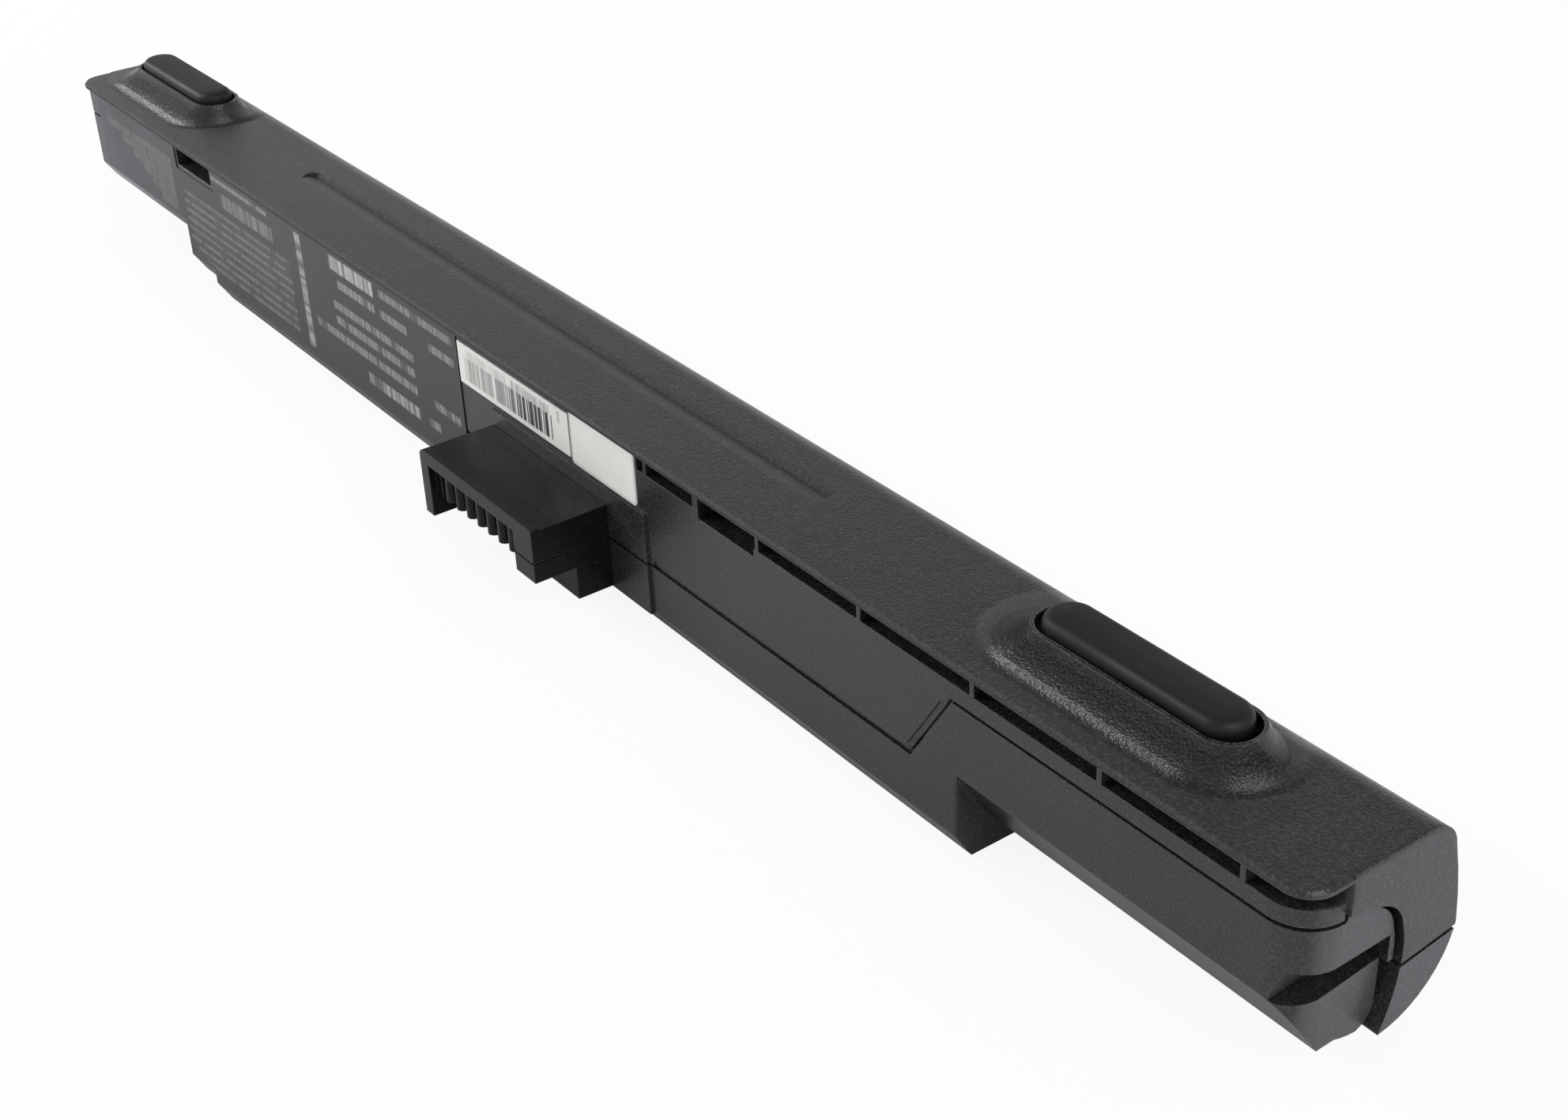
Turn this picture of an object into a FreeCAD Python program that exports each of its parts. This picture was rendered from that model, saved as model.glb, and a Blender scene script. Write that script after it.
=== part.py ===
import FreeCAD, Part
import math
import os

# A slim bar-shaped laptop battery that clips along the rear edge of a laptop.
# Millimetres. X runs along the bar, -Y is the face with the label and the connector,
# Z = 0 is the flat underside of the deep middle part, and the cells' axis is at Y = 0.

# Cells, which set the length of the case and the radius of its round back
CELL_COUNT = 4
CELL_RADIUS = 9.15
CELL_LENGTH = 65.0
CELL_GAP = 1.8
CELL_EDGE = 0.9
CELL_CLEARANCE = 0.3
BUTTON_RADIUS = 4.0
BUTTON_RISE = 0.5

# Case: walls, ends and the thin lip round the top; corners are (far, near)
WALL = 1.25
END_ROOM = 9.6
END_DEPTH = 5.5
END_WALL_PROUD = 0.7
TOP_Z = 27.5
FRONT_Y = -11.0
BODY_CORNERS = (1.3, 5.0)
LIP_REACH = 1.0
LIP_THICK = 0.8
LIP_CORNERS = (3.5, 3.5)
LIP_EDGE = 0.35

# Case: section through the thin ends, which wraps closely round the cells; only the near one has a
# full bevel down to an edge, and the far one turns straight into the round skin
CELL_AXIS_Z = 14.9
TOP_FLAT_BACK = 4.9
TOP_BACK_RADIUS = 4.0
LEAN_START_DEG = 6.0
LEAN_BULGE = 0.26
SKIN_START_DROP = 1.5
BEVEL_TOP_Z = 12.1
BEVEL_RUN = 4.4
BEVEL_FOOT_Z = 5.0

# Case: the deep middle part, with its shallow first stage at the far end
DEEP_FAR_INSET = 49.0
DEEP_NEAR_INSET = 50.3
STAGE_LENGTH = 9.5
STAGE_Z = 2.3
DEEP_BACK_Y = 8.5
DEEP_CORNER = 4.0
DEEP_BEVEL_RUN = 2.2
DEEP_BEVEL_RISE = 3.5
DEEP_OVERLAP = 5.0
STAGE_OVERLAP = 1.0

# Parting line between the two mouldings
SEAM_GAP = 0.45
SEAM_DEPTH = 0.6
FLAP_Z = 10.8
FLAP_NEAR_INSET = 58.7
FLAP_FAR_INSET = 56.5
FLAP_SLANT = 7.6
FLAP_BORDER = 0.8
FLAP_BORDER_DEPTH = 0.25
FLAP_BORDER_DROP = 1.2
FLAP_OVERLAP = 0.6
FRONT_SEAM_Z = 21.8
HOOK_STEP = 0.8
HOOK_START_Y = -5.9
HOOK_CREST = ((-4.0, 22.35), (-2.2, 21.7))
HOOK_SHOULDER = ((0.9, 20.0), (2.2, 17.4))
HOOK_WALL = ((2.65, 15.4), (2.66, 12.2))
HOOK_FOOT = ((1.5, 6.7), (-0.2, 3.0))
BACK_SEAM_Z = 13.1
BACK_SEAM_RISE = 0.5

# Ends: a recess round a block, cut through at the near end by a guide slot with a lower block under it
RECESS_DEPTH = 2.0
BLOCK_GAP = 0.55
LOWER_BLOCK_SETBACK = 1.0
LOWER_BLOCK_CORNER = 4.2
LOWER_BLOCK_SIDE = (1.45, 7.6)
LOWER_BLOCK_BEND = ((0.6, 5.1), (-1.8, 4.15))
SLOT_TOP_Z = 16.1
SLOT_MOUTH_Z = 11.6
SLOT_BACK_Z = 12.6
SLOT_BACK_Y = 1.4
SLOT_DEPTH_LOW = 4.2
SLOT_DEPTH_HIGH = 2.6
END_POCKET_Y = 3.9

# Label along the front face, then two stickers, then the groove
LABEL_THICK = 0.15
LABEL_FAR_INSET = 5.5
LABEL_NEAR_X = -10.6
LABEL_TOP_Z = 26.0
LABEL_THIN_Z = 12.6
LABEL_DEEP_Z = 4.6
LABEL_NOTCH = 0.8
LABEL_STEP_GAP = 1.0
CODE_STICKER_LENGTH = 29.4
CODE_STICKER_Z = (18.9, 25.3)
BLANK_STICKER_LENGTH = 15.6
BLANK_STICKER_Z = (18.3, 26.6)
STICKER_GAP = 0.4
STICKER_CORNER = 0.7

# Groove under the lip on the near half, with thin ribs across it
GROOVE_HEIGHT = 2.8
GROOVE_DEPTH = 2.5
GROOVE_WALL = 0.8
GROOVE_END_Y = -6.0
RIB_THICK = 0.7
FIRST_RIB_GAP = 1.4
RIB_PITCH = 19.5
LAST_RIB_INSET = 9.0
RIB_COUNT = 5
LATCH_RIB_THICK = 1.2

# Latch pockets
NEAR_LATCH_X = 49.2
NEAR_LATCH_LENGTH = 11.6
FAR_LATCH_INSET = 40.6
FAR_LATCH_LENGTH = 13.5
LATCH_BOTTOM_Z = 22.8
LATCH_HEIGHT = 3.4
LATCH_DEPTH = 3.5
LATCH_WALL = 0.8

# Long shallow channel in the top face
CHANNEL_FAR_INSET = 71.5
CHANNEL_NEAR_INSET = 86.4
CHANNEL_Y = (-2.5, 0.7)
CHANNEL_DEPTH = 0.55
CHANNEL_CREASE = 0.5

# Raised rims that hold the rubber feet
RIM_WIDTH = 8.0
RIM_LENGTH = 31.6
RIM_Y = 0.6
NEAR_RIM_INSET = 34.2
FAR_RIM_INSET = 20.5
RIM_RISE = 2.0
RIM_WALL = 0.5
RIM_RECESS = 1.7
FLANK_REACH = 3.6
BACK_REACH = 0.9
FLANK_ROOT = 0.6
FOOT_END_GAP = 1.0
FOOT_SIDE_GAP = 0.3
FOOT_RISE_OVER_RIM = 1.7
FOOT_DOME = 1.3
FOOT_DOME_STEPS = 2

# Connector block on the front face
CONN_FAR_X = -1.7
CONN_LENGTH = 29.7
CONN_FRONT_Y = -23.0
CONN_TOP_Z = 15.9
CONN_UNDER_Z = 8.0
CONN_RIM_WIDTH = 1.2
CONN_RIM_RISE = 0.3
CONN_BAR = 2.0
CONN_BAY_DEPTH = 4.5
CONN_LEFT_PLATE = 2.1
CONN_LEFT_RADIUS = 1.2
CONN_LEFT_FOOT_Z = 5.9
CONN_INNER_PLATE = 1.7
CONN_INNER_SETBACK = 1.0
CONN_INNER_PLATE_Z = 9.4
CONN_RIGHT_BLOCK = 4.8
CONN_TIER_Z = 10.8
CONN_MARK = 0.3
FIN_INSET = 6.1
FIN_PITCH = 2.8
FIN_WIDTH = 1.9
FIN_COUNT = 7
FIN_FOOT_Z = 9.7
FIN_SETBACK = 0.4
NECK_DEPTH = 5.4
NECK_FOOT_Z = 3.2
FRAME_FAR_INSET = 0.2
FRAME_NEAR_REACH = 9.0
FRAME_Z = (3.0, 18.0)
FRAME_RISE = 0.4
TAIL_INSET = 3.1
TAIL_Z = (4.6, 7.2)
TAIL_REACH = 0.85
TAIL_CLEARANCE = 0.15

# Contact blades in the gaps between the fins
BLADE_THICK = 0.5
BLADE_WIDTH = 0.9
BLADE_SETBACK = 1.4
BLADE_ROOM = 0.7
BLADE_SLOPE = 0.9
BLADE_CLEARANCE = 0.1

# Links, rings, tabs, pads and leads between the cells
LINK_THICK = 0.25
LINK_WIDTH = 8.0
LINK_HEIGHT = 13.0
LINK_TAB_WIDTH = 2.0
RING_RADIUS = 8.6
RING_HOLE = 4.6
RING_THICK = 0.5
PAD_LENGTH = 22.0
PAD_WIDTH = 7.0
PAD_OVERLAP = 1.0
END_PAD_SIZE = 12.0
END_PAD_FRONT_Y = -1.0
LEAD_RADIUS = 0.45
LEAD_TOP = (-5.4, 24.8)
LEAD_DOWN = (-8.0, 19.5)
LEAD_TAB = (-3.0, 20.0)

# Circuit board under the cells: each part is its share along the board, y, length, width, height
BOARD_FAR_ROOM = 21.5
BOARD_NEAR_ROOM = 12.2
BOARD_Y = (-8.6, 4.6)
BOARD_Z = 2.2
BOARD_THICK = 1.0
CONTROL_CHIP = (0.72, -4.2, 9.0, 6.0, 1.3)
GAUGE_CHIP = (0.34, -4.2, 7.0, 5.0, 1.2)
POWER_SWITCH = (0.817, -4.4, 5.0, 4.4, 1.2)
POWER_SWITCH_STEP = 9.0
FUSE = (0.207, -4.2, 6.0, 3.0, 1.4)
SHUNT = (0.134, -4.2, 5.0, 2.6, 0.9)
THERMISTOR_RADIUS = 0.9
THERMISTOR_LENGTH = 3.0
THERMISTOR_AT = (0.427, 3.0)
STANDOFF_WIDTH = 2.0
STANDOFF_EDGE = 0.5
STANDOFF_SHARES = (0.05, 0.41, 0.66, 0.96)
CRADLE_THICK = 1.6
CRADLE_INSET = 5.5
CRADLE_DROP = 4.0

# Places that follow from the sizes above
hook_start_z = FRONT_SEAM_Z + HOOK_STEP
row_length = CELL_COUNT * (CELL_LENGTH + CELL_GAP) - CELL_GAP
row_start = -row_length / 2
inner_end_x = row_length / 2 + END_ROOM
body_end_x = inner_end_x + END_DEPTH
end_x = body_end_x + END_WALL_PROUD
recess_x = body_end_x - RECESS_DEPTH
lower_block_x = body_end_x - LOWER_BLOCK_SETBACK
skin_radius = CELL_RADIUS + CELL_CLEARANCE + WALL
skin_bottom_z = CELL_AXIS_Z - skin_radius
lip_low_z = TOP_Z - LIP_THICK
deep_far_x = -end_x + DEEP_FAR_INSET
deep_near_x = end_x - DEEP_NEAR_INSET
stage_far_x = deep_far_x - STAGE_LENGTH
flap_far_x = -end_x + FLAP_FAR_INSET
flap_near_x = end_x - FLAP_NEAR_INSET
code_sticker_x = (LABEL_NEAR_X + STICKER_GAP, LABEL_NEAR_X + STICKER_GAP + CODE_STICKER_LENGTH)
blank_sticker_x = (code_sticker_x[1] + STICKER_GAP, code_sticker_x[1] + STICKER_GAP + BLANK_STICKER_LENGTH)
groove_far_x = blank_sticker_x[1] + STICKER_GAP
groove_bottom_z = lip_low_z - GROOVE_HEIGHT
near_latch = (NEAR_LATCH_X, NEAR_LATCH_X + NEAR_LATCH_LENGTH)
far_latch = (-end_x + FAR_LATCH_INSET, -end_x + FAR_LATCH_INSET + FAR_LATCH_LENGTH)
rims = {"far": -end_x + FAR_RIM_INSET, "near": end_x - NEAR_RIM_INSET}
foot_floor_z = TOP_Z + RIM_RISE - RIM_RECESS
conn_x = (CONN_FAR_X, CONN_FAR_X + CONN_LENGTH)
bay_back_y = CONN_FRONT_Y + CONN_BAY_DEPTH
bay_top_z = CONN_TOP_Z - CONN_BAR
frame_x = (conn_x[0] + FRAME_FAR_INSET, conn_x[1] + FRAME_NEAR_REACH)
frame_front_y = FRONT_Y - FRAME_RISE
neck_front_y = frame_front_y - NECK_DEPTH
tail_x = (conn_x[0] + TAIL_INSET, conn_x[1] - TAIL_INSET)
tail_inner_y = FRONT_Y + WALL + TAIL_REACH
board_x = (deep_far_x + BOARD_FAR_ROOM, deep_near_x - BOARD_NEAR_ROOM)
board_top_z = BOARD_Z + BOARD_THICK
board_length = board_x[1] - board_x[0]
diagonal = math.sqrt(0.5)


def along_side(point):
    return FreeCAD.Vector(0, point[0], point[1])


def along_front(point):
    return FreeCAD.Vector(point[0], 0, point[1])


def outline(place, start, *steps):
    """Closed face: a step is the end of a line, or a pair (point on the arc, end of the arc)."""
    edges = []
    here = place(start)
    for step in steps:
        if isinstance(step[0], tuple):
            end = place(step[1])
            edges.append(Part.Arc(here, place(step[0]), end).toShape())
        else:
            end = place(step)
            edges.append(Part.makeLine(here, end))
        here = end
    edges.append(Part.makeLine(here, place(start)))
    return Part.Face(Part.Wire(edges))


def run_x(face, x0, x1):
    moved = face.translated(FreeCAD.Vector(x0, 0, 0))
    return moved.extrude(FreeCAD.Vector(x1 - x0, 0, 0))


def run_y(face, y0, y1):
    moved = face.translated(FreeCAD.Vector(0, y0, 0))
    return moved.extrude(FreeCAD.Vector(0, y1 - y0, 0))


def block(x, y, z):
    corner = FreeCAD.Vector(x[0], y[0], z[0])
    return Part.makeBox(x[1] - x[0], y[1] - y[0], z[1] - z[0], corner)


def join(shapes):
    return shapes[0].fuse(shapes[1:]).removeSplitter()


def mirrored(shape):
    return shape.mirror(FreeCAD.Vector(0, 0, 0), FreeCAD.Vector(1, 0, 0))


def stadium(length, width, centre_x, centre_y, z):
    """Wire of two straight sides and two round ends."""
    radius = width / 2
    half = length / 2 - radius
    left, right = centre_x - half, centre_x + half
    low, high = centre_y - radius, centre_y + radius
    at = lambda x, y: FreeCAD.Vector(x, y, z)
    return Part.Wire([
        Part.makeLine(at(left, low), at(right, low)),
        Part.Arc(at(right, low), at(right + radius, centre_y), at(right, high)).toShape(),
        Part.makeLine(at(right, high), at(left, high)),
        Part.Arc(at(left, high), at(left - radius, centre_y), at(left, low)).toShape(),
    ])


def rounded_front(x_half, y_front, corners, z0, z1):
    """Plan block whose far and near front corners are round."""
    plate = block((-x_half, x_half), (y_front, -y_front + corners[1]), (z0, z1))
    for corner_x, radius in zip((-x_half, x_half), corners):
        upright = [
            edge for edge in plate.Edges
            if abs(edge.CenterOfMass.x - corner_x) < 1e-6 and abs(edge.CenterOfMass.y - y_front) < 1e-6
        ]
        plate = plate.makeFillet(radius, upright)
    return plate


def keep(name, shape):
    shape.exportStep("parts/" + name + ".step")


os.makedirs("parts", exist_ok=True)

# Sections of the case
lean_start = (
    TOP_FLAT_BACK + TOP_BACK_RADIUS * math.cos(math.radians(LEAN_START_DEG)),
    TOP_Z - TOP_BACK_RADIUS * (1 - math.sin(math.radians(LEAN_START_DEG))),
)
skin_start = (math.sqrt(skin_radius ** 2 - SKIN_START_DROP ** 2), CELL_AXIS_Z - SKIN_START_DROP)
lean_middle = ((lean_start[0] + skin_start[0]) / 2 + LEAN_BULGE, (lean_start[1] + skin_start[1]) / 2)
section_start = (
    (FRONT_Y, TOP_Z),
    (TOP_FLAT_BACK, TOP_Z),
    ((TOP_FLAT_BACK + TOP_BACK_RADIUS * diagonal, TOP_Z - TOP_BACK_RADIUS * (1 - diagonal)), lean_start),
    (lean_middle, skin_start),
)
skin_middle = (skin_radius * diagonal, CELL_AXIS_Z - skin_radius * diagonal)
bevel_foot_y = -math.sqrt(skin_radius ** 2 - (CELL_AXIS_Z - BEVEL_FOOT_Z) ** 2)
thin_face = outline(
    along_side,
    *section_start,
    (skin_middle, (bevel_foot_y, BEVEL_FOOT_Z)),
    (FRONT_Y + BEVEL_RUN, BEVEL_FOOT_Z),
    (FRONT_Y, BEVEL_TOP_Z),
)
# The far section's short bevel is the tangent from the front wall's lower edge to the skin
to_axis_y = -FRONT_Y
to_axis_z = CELL_AXIS_Z - BEVEL_TOP_Z
touch_turn = math.atan2(-to_axis_z, -to_axis_y) + math.acos(skin_radius / math.hypot(to_axis_y, to_axis_z))
skin_touch = (skin_radius * math.cos(touch_turn), CELL_AXIS_Z + skin_radius * math.sin(touch_turn))
far_face = outline(
    along_side,
    *section_start,
    ((0.0, skin_bottom_z), skin_touch),
    (FRONT_Y, BEVEL_TOP_Z),
)


def deep_face(bottom):
    back_centre = DEEP_BACK_Y - DEEP_CORNER
    reach = DEEP_CORNER * diagonal
    centre_z = bottom + DEEP_CORNER
    top_z = CELL_AXIS_Z + DEEP_OVERLAP
    return outline(
        along_side,
        (FRONT_Y, top_z),
        (FRONT_Y, bottom + DEEP_BEVEL_RISE),
        (FRONT_Y + DEEP_BEVEL_RUN, bottom),
        (back_centre, bottom),
        ((back_centre + reach, centre_z - reach), (DEEP_BACK_Y, centre_z)),
        (DEEP_BACK_Y, top_z),
    )


def case_form(inset, x_end):
    """Thin bar and deep middle as one solid, every surface set in by the same amount."""
    thin = thin_face.makeOffset2D(-inset) if inset else thin_face
    far = far_face.makeOffset2D(-inset) if inset else far_face
    deep = deep_face(0.0).makeOffset2D(-inset) if inset else deep_face(0.0)
    stage = deep_face(STAGE_Z).makeOffset2D(-inset) if inset else deep_face(STAGE_Z)
    return join([
        run_x(thin, stage_far_x + inset, x_end),
        run_x(far, -x_end, stage_far_x + inset),
        run_x(deep, deep_far_x + inset, deep_near_x - inset),
        run_x(stage, stage_far_x + inset, deep_far_x + 2 * inset + STAGE_OVERLAP),
    ])


# Parting region: everything inside it belongs to the upper moulding
hook_points = (
    (HOOK_START_Y, FRONT_SEAM_Z),
    (HOOK_START_Y, hook_start_z),
    HOOK_CREST,
    HOOK_SHOULDER,
    HOOK_WALL,
)
region_top_z = TOP_Z + 10
region_face = outline(
    along_side,
    (FRONT_Y - 10, FRONT_SEAM_Z),
    *hook_points,
    (skin_radius + 6, BACK_SEAM_Z + BACK_SEAM_RISE),
    (skin_radius + 6, region_top_z),
    (FRONT_Y - 10, region_top_z),
)
flap_face = outline(
    along_front,
    (flap_far_x, FLAP_Z),
    (flap_near_x, FLAP_Z),
    (flap_near_x + FLAP_SLANT, FRONT_SEAM_Z + FLAP_OVERLAP),
    (flap_far_x - FLAP_SLANT, FRONT_SEAM_Z + FLAP_OVERLAP),
)


def parting(gap):
    upper = region_face.makeOffset2D(gap) if gap else region_face
    flap = flap_face.makeOffset2D(gap) if gap else flap_face
    return join([
        run_x(upper, -2 * end_x, 2 * end_x),
        run_y(flap, FRONT_Y - 10, FRONT_Y + WALL + 1.0),
    ])


# Outer form: body, lip plate and the end walls that stand flush with the lip
body = case_form(0.0, body_end_x)
body = body.common(rounded_front(body_end_x, FRONT_Y, BODY_CORNERS, -1.0, TOP_Z + 1))
lip = rounded_front(end_x, FRONT_Y - LIP_REACH, LIP_CORNERS, lip_low_z, TOP_Z)
lip = lip.makeChamfer(LIP_EDGE, [
    edge for edge in lip.Edges
    if edge.BoundBox.ZMin > TOP_Z - 0.01 and edge.CenterOfMass.y < FRONT_Y + LIP_CORNERS[1]
])
lip_front = block((-end_x, end_x), (FRONT_Y - 5, 0.0), (0.0, TOP_Z + 1))
lip_ends = run_x(thin_face, -end_x, end_x)
lip = lip.common(join([lip_front, lip_ends]))
hook_face = outline(
    along_side,
    (HOOK_START_Y, TOP_Z),
    *hook_points[1:],
    HOOK_FOOT,
    (skin_radius + 2, HOOK_FOOT[1][1]),
    (skin_radius + 2, TOP_Z),
)
end_wall_face = thin_face.common(hook_face)
end_wall = run_x(end_wall_face, recess_x, end_x)
outer = join([body, lip, end_wall, mirrored(end_wall)])

# Recess round the end blocks, and the guide slot at the near end
pit_face = outline(
    along_side,
    (FRONT_Y - 5, FRONT_SEAM_Z),
    (HOOK_START_Y, FRONT_SEAM_Z),
    (HOOK_START_Y, hook_start_z),
    HOOK_CREST,
    HOOK_SHOULDER,
    HOOK_WALL,
    HOOK_FOOT,
    (FRONT_Y - 5, HOOK_FOOT[1][1]),
)
upper_block_face = pit_face.makeOffset2D(-BLOCK_GAP)
lower_block_face = outline(
    along_side,
    (FRONT_Y - 5, SLOT_BACK_Z),
    (LOWER_BLOCK_SIDE[0], SLOT_BACK_Z),
    LOWER_BLOCK_SIDE,
    LOWER_BLOCK_BEND,
    (LOWER_BLOCK_BEND[1][0], 2.0),
    (FRONT_Y - 5, 2.0),
)
upper_half = block((recess_x - 1, 2 * end_x), (FRONT_Y - 10, skin_radius), (SLOT_BACK_Z, TOP_Z))
front_side = block((recess_x - 1, 2 * end_x), (FRONT_Y - 10, HOOK_START_Y), (SLOT_BACK_Z, TOP_Z))
pit = run_x(pit_face, recess_x, 2 * end_x).cut([
    run_x(upper_block_face, recess_x - 1, 2 * end_x).common(upper_half),
    run_x(lower_block_face, recess_x - 1, 2 * end_x),
    front_side,
])
lower_corners = (LOWER_BLOCK_CORNER, LOWER_BLOCK_CORNER)
lower_block_form = rounded_front(lower_block_x, FRONT_Y, lower_corners, -1.0, TOP_Z)
lower_trim = run_x(lower_block_face, lower_block_x - LOWER_BLOCK_CORNER, 2 * end_x).cut(lower_block_form)


def slot_section(y, low_z):
    points = [
        (body_end_x - SLOT_DEPTH_LOW, low_z),
        (body_end_x - SLOT_DEPTH_HIGH, SLOT_TOP_Z),
        (end_x + 2, SLOT_TOP_Z),
        (end_x + 2, low_z),
    ]
    return Part.makePolygon([FreeCAD.Vector(x, y, z) for x, z in points + points[:1]])


slot_mouth = slot_section(FRONT_Y - 2, SLOT_MOUTH_Z)
slot_back = slot_section(SLOT_BACK_Y, SLOT_BACK_Z)
slot = Part.makeLoft([slot_mouth, slot_back], True, True)
near_cut = join([pit, lower_trim, slot])

# Mounds for the feet: a smooth flank, as shares of its reach and rise, up to a thin rim
flank_shape = ((1.0, -FLANK_ROOT), (0.98, 0.0), (0.66, 0.13), (0.32, 0.45), (0.08, 0.82), (0.0, 1.0))


def mound(centre_x):
    sections = []
    for reach, share in flank_shape:
        front = FLANK_REACH * reach
        back = BACK_REACH * reach
        width = RIM_WIDTH + front + back
        centre_y = RIM_Y + (back - front) / 2
        level = TOP_Z + RIM_RISE * share
        sections.append(stadium(RIM_LENGTH + 2 * front, width, centre_x, centre_y, level))
    return Part.makeLoft(sections, True)


def foot_recess(centre_x, bottom):
    ring = stadium(RIM_LENGTH - 2 * RIM_WALL, RIM_WIDTH - 2 * RIM_WALL, centre_x, RIM_Y, bottom)
    return Part.Face(ring).extrude(FreeCAD.Vector(0, 0, TOP_Z + 5 - bottom))


solid = join([outer] + [mound(x) for x in rims.values()])

# Hollow the case, then add the housings behind the groove and the latch pockets
sleeve_start = FreeCAD.Vector(-inner_end_x, 0, CELL_AXIS_Z)
cell_sleeve = Part.makeCylinder(
    CELL_RADIUS + CELL_CLEARANCE, 2 * inner_end_x, sleeve_start, FreeCAD.Vector(1, 0, 0),
)
hollow = join([case_form(WALL, inner_end_x), cell_sleeve])
end_pocket = run_x(thin_face.makeOffset2D(-WALL), inner_end_x - 1, end_x - WALL)
end_pocket = end_pocket.common(block((0.0, 2 * end_x), (END_POCKET_Y, 20.0), (0.0, TOP_Z)))
hollow = join([hollow, end_pocket, mirrored(end_pocket)])
shell = solid.cut(hollow)


def latch_box(span, wall):
    return block(
        (span[0] - wall, span[1] + wall),
        (FRONT_Y - 0.5 * (wall == 0), FRONT_Y + LATCH_DEPTH + wall),
        (LATCH_BOTTOM_Z - wall, LATCH_BOTTOM_Z + LATCH_HEIGHT + wall),
    )


def front_band(depth, z0, z1):
    """Strip of even depth that follows the front face and turns round the near corner."""
    radius = BODY_CORNERS[1]
    full = rounded_front(body_end_x, FRONT_Y, (radius, radius), z0, z1)
    radius -= depth
    core = rounded_front(body_end_x - depth, FRONT_Y + depth, (radius, radius), z0 - 1, z1 + 1)
    window = block((groove_far_x, 2 * end_x), (FRONT_Y - 5, GROOVE_END_Y), (z0, z1))
    return full.cut(core).common(window)


housings = [
    front_band(GROOVE_DEPTH + GROOVE_WALL, groove_bottom_z - GROOVE_WALL, lip_low_z),
    latch_box(near_latch, LATCH_WALL),
    latch_box(far_latch, LATCH_WALL),
]
shell = join([shell] + housings)
groove = front_band(GROOVE_DEPTH, groove_bottom_z, lip_low_z)
first_rib_x = groove_far_x + FIRST_RIB_GAP
rib_spans = [(first_rib_x, first_rib_x + RIB_THICK), (near_latch[0] - LATCH_RIB_THICK, near_latch[0])]
for index in range(RIB_COUNT):
    rib_x = end_x - LAST_RIB_INSET - index * RIB_PITCH
    rib_spans.append((rib_x - RIB_THICK / 2, rib_x + RIB_THICK / 2))
for span in rib_spans:
    rib = block(span, (FRONT_Y - 1, FRONT_Y + GROOVE_DEPTH + 1), (groove_bottom_z - 1, TOP_Z))
    groove = groove.cut(rib)
shell = shell.cut([groove, latch_box(near_latch, 0), latch_box(far_latch, 0), near_cut, mirrored(pit)])

# Channel in the top face, and the recesses for the feet
channel_x = (-end_x + CHANNEL_FAR_INSET, end_x - CHANNEL_NEAR_INSET)
channel_length = channel_x[1] - channel_x[0]
channel_width = CHANNEL_Y[1] - CHANNEL_Y[0]
channel_plan = stadium(
    channel_length, channel_width, sum(channel_x) / 2, sum(CHANNEL_Y) / 2, TOP_Z - 1,
)
channel_face = outline(
    along_side,
    (CHANNEL_Y[0], TOP_Z),
    (CHANNEL_Y[1] - CHANNEL_CREASE, TOP_Z - CHANNEL_DEPTH),
    (CHANNEL_Y[1], TOP_Z),
    (CHANNEL_Y[1], TOP_Z + 1),
    (CHANNEL_Y[0], TOP_Z + 1),
)
channel = run_x(channel_face, channel_x[0], channel_x[1])
channel = channel.common(Part.Face(channel_plan).extrude(FreeCAD.Vector(0, 0, 3)))
shell = shell.cut([channel] + [foot_recess(x, foot_floor_z) for x in rims.values()])

# Raised frame round the connector, and the window that the connector's tail passes through
frame_pad = block(frame_x, (frame_front_y, FRONT_Y + WALL / 2), FRAME_Z)
frame_pad = frame_pad.cut(case_form(WALL, inner_end_x))
shell = shell.fuse(frame_pad).removeSplitter()
window = block(
    (tail_x[0] - TAIL_CLEARANCE, tail_x[1] + TAIL_CLEARANCE),
    (FRONT_Y - 5, tail_inner_y),
    (TAIL_Z[0] - TAIL_CLEARANCE, TAIL_Z[1] + TAIL_CLEARANCE),
)
shell = shell.cut(window)

# Part the shell: the seam is open at the skin and closed on the flat inner half of the wall
exact = parting(0.0)
wide = parting(SEAM_GAP)
core = case_form(SEAM_DEPTH, inner_end_x - 1)
upper_shell = shell.common(exact)
lower_shell = shell.cut(join([exact, wide.cut(core)]))

# Shallow border along the edge of the flap
border_outer = run_y(flap_face, FRONT_Y - 1, FRONT_Y + FLAP_BORDER_DEPTH)
border_inner = run_y(flap_face.makeOffset2D(-FLAP_BORDER), FRONT_Y - 2, FRONT_Y + 1)
above_flap = block((-end_x, end_x), (FRONT_Y - 3, FRONT_Y + 3), (FRONT_SEAM_Z - FLAP_BORDER_DROP, TOP_Z))
behind_frame = block((-end_x, frame_x[1] + 1), (FRONT_Y - 3, FRONT_Y + 3), (0.0, TOP_Z))
upper_shell = upper_shell.cut(border_outer.cut([border_inner, above_flap, behind_frame]))

keep("upper_shell", upper_shell)

# Rubber feet, seated in the rims: straight sides, then a dome in steps of its quarter round
foot_top_z = TOP_Z + RIM_RISE + FOOT_RISE_OVER_RIM
foot_length = RIM_LENGTH - 2 * RIM_WALL - 2 * FOOT_END_GAP
foot_width = RIM_WIDTH - 2 * RIM_WALL - 2 * FOOT_SIDE_GAP
for side, centre_x in rims.items():
    sections = [stadium(foot_length, foot_width, centre_x, RIM_Y, foot_floor_z)]
    for step in range(FOOT_DOME_STEPS + 1):
        turn = math.pi / 2 * step / FOOT_DOME_STEPS
        inset = 2 * FOOT_DOME * (1 - math.cos(turn))
        level = foot_top_z - FOOT_DOME * (1 - math.sin(turn))
        sections.append(stadium(foot_length - inset, foot_width - inset, centre_x, RIM_Y, level))
    keep("foot_" + side, Part.makeLoft(sections, True, True))

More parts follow.
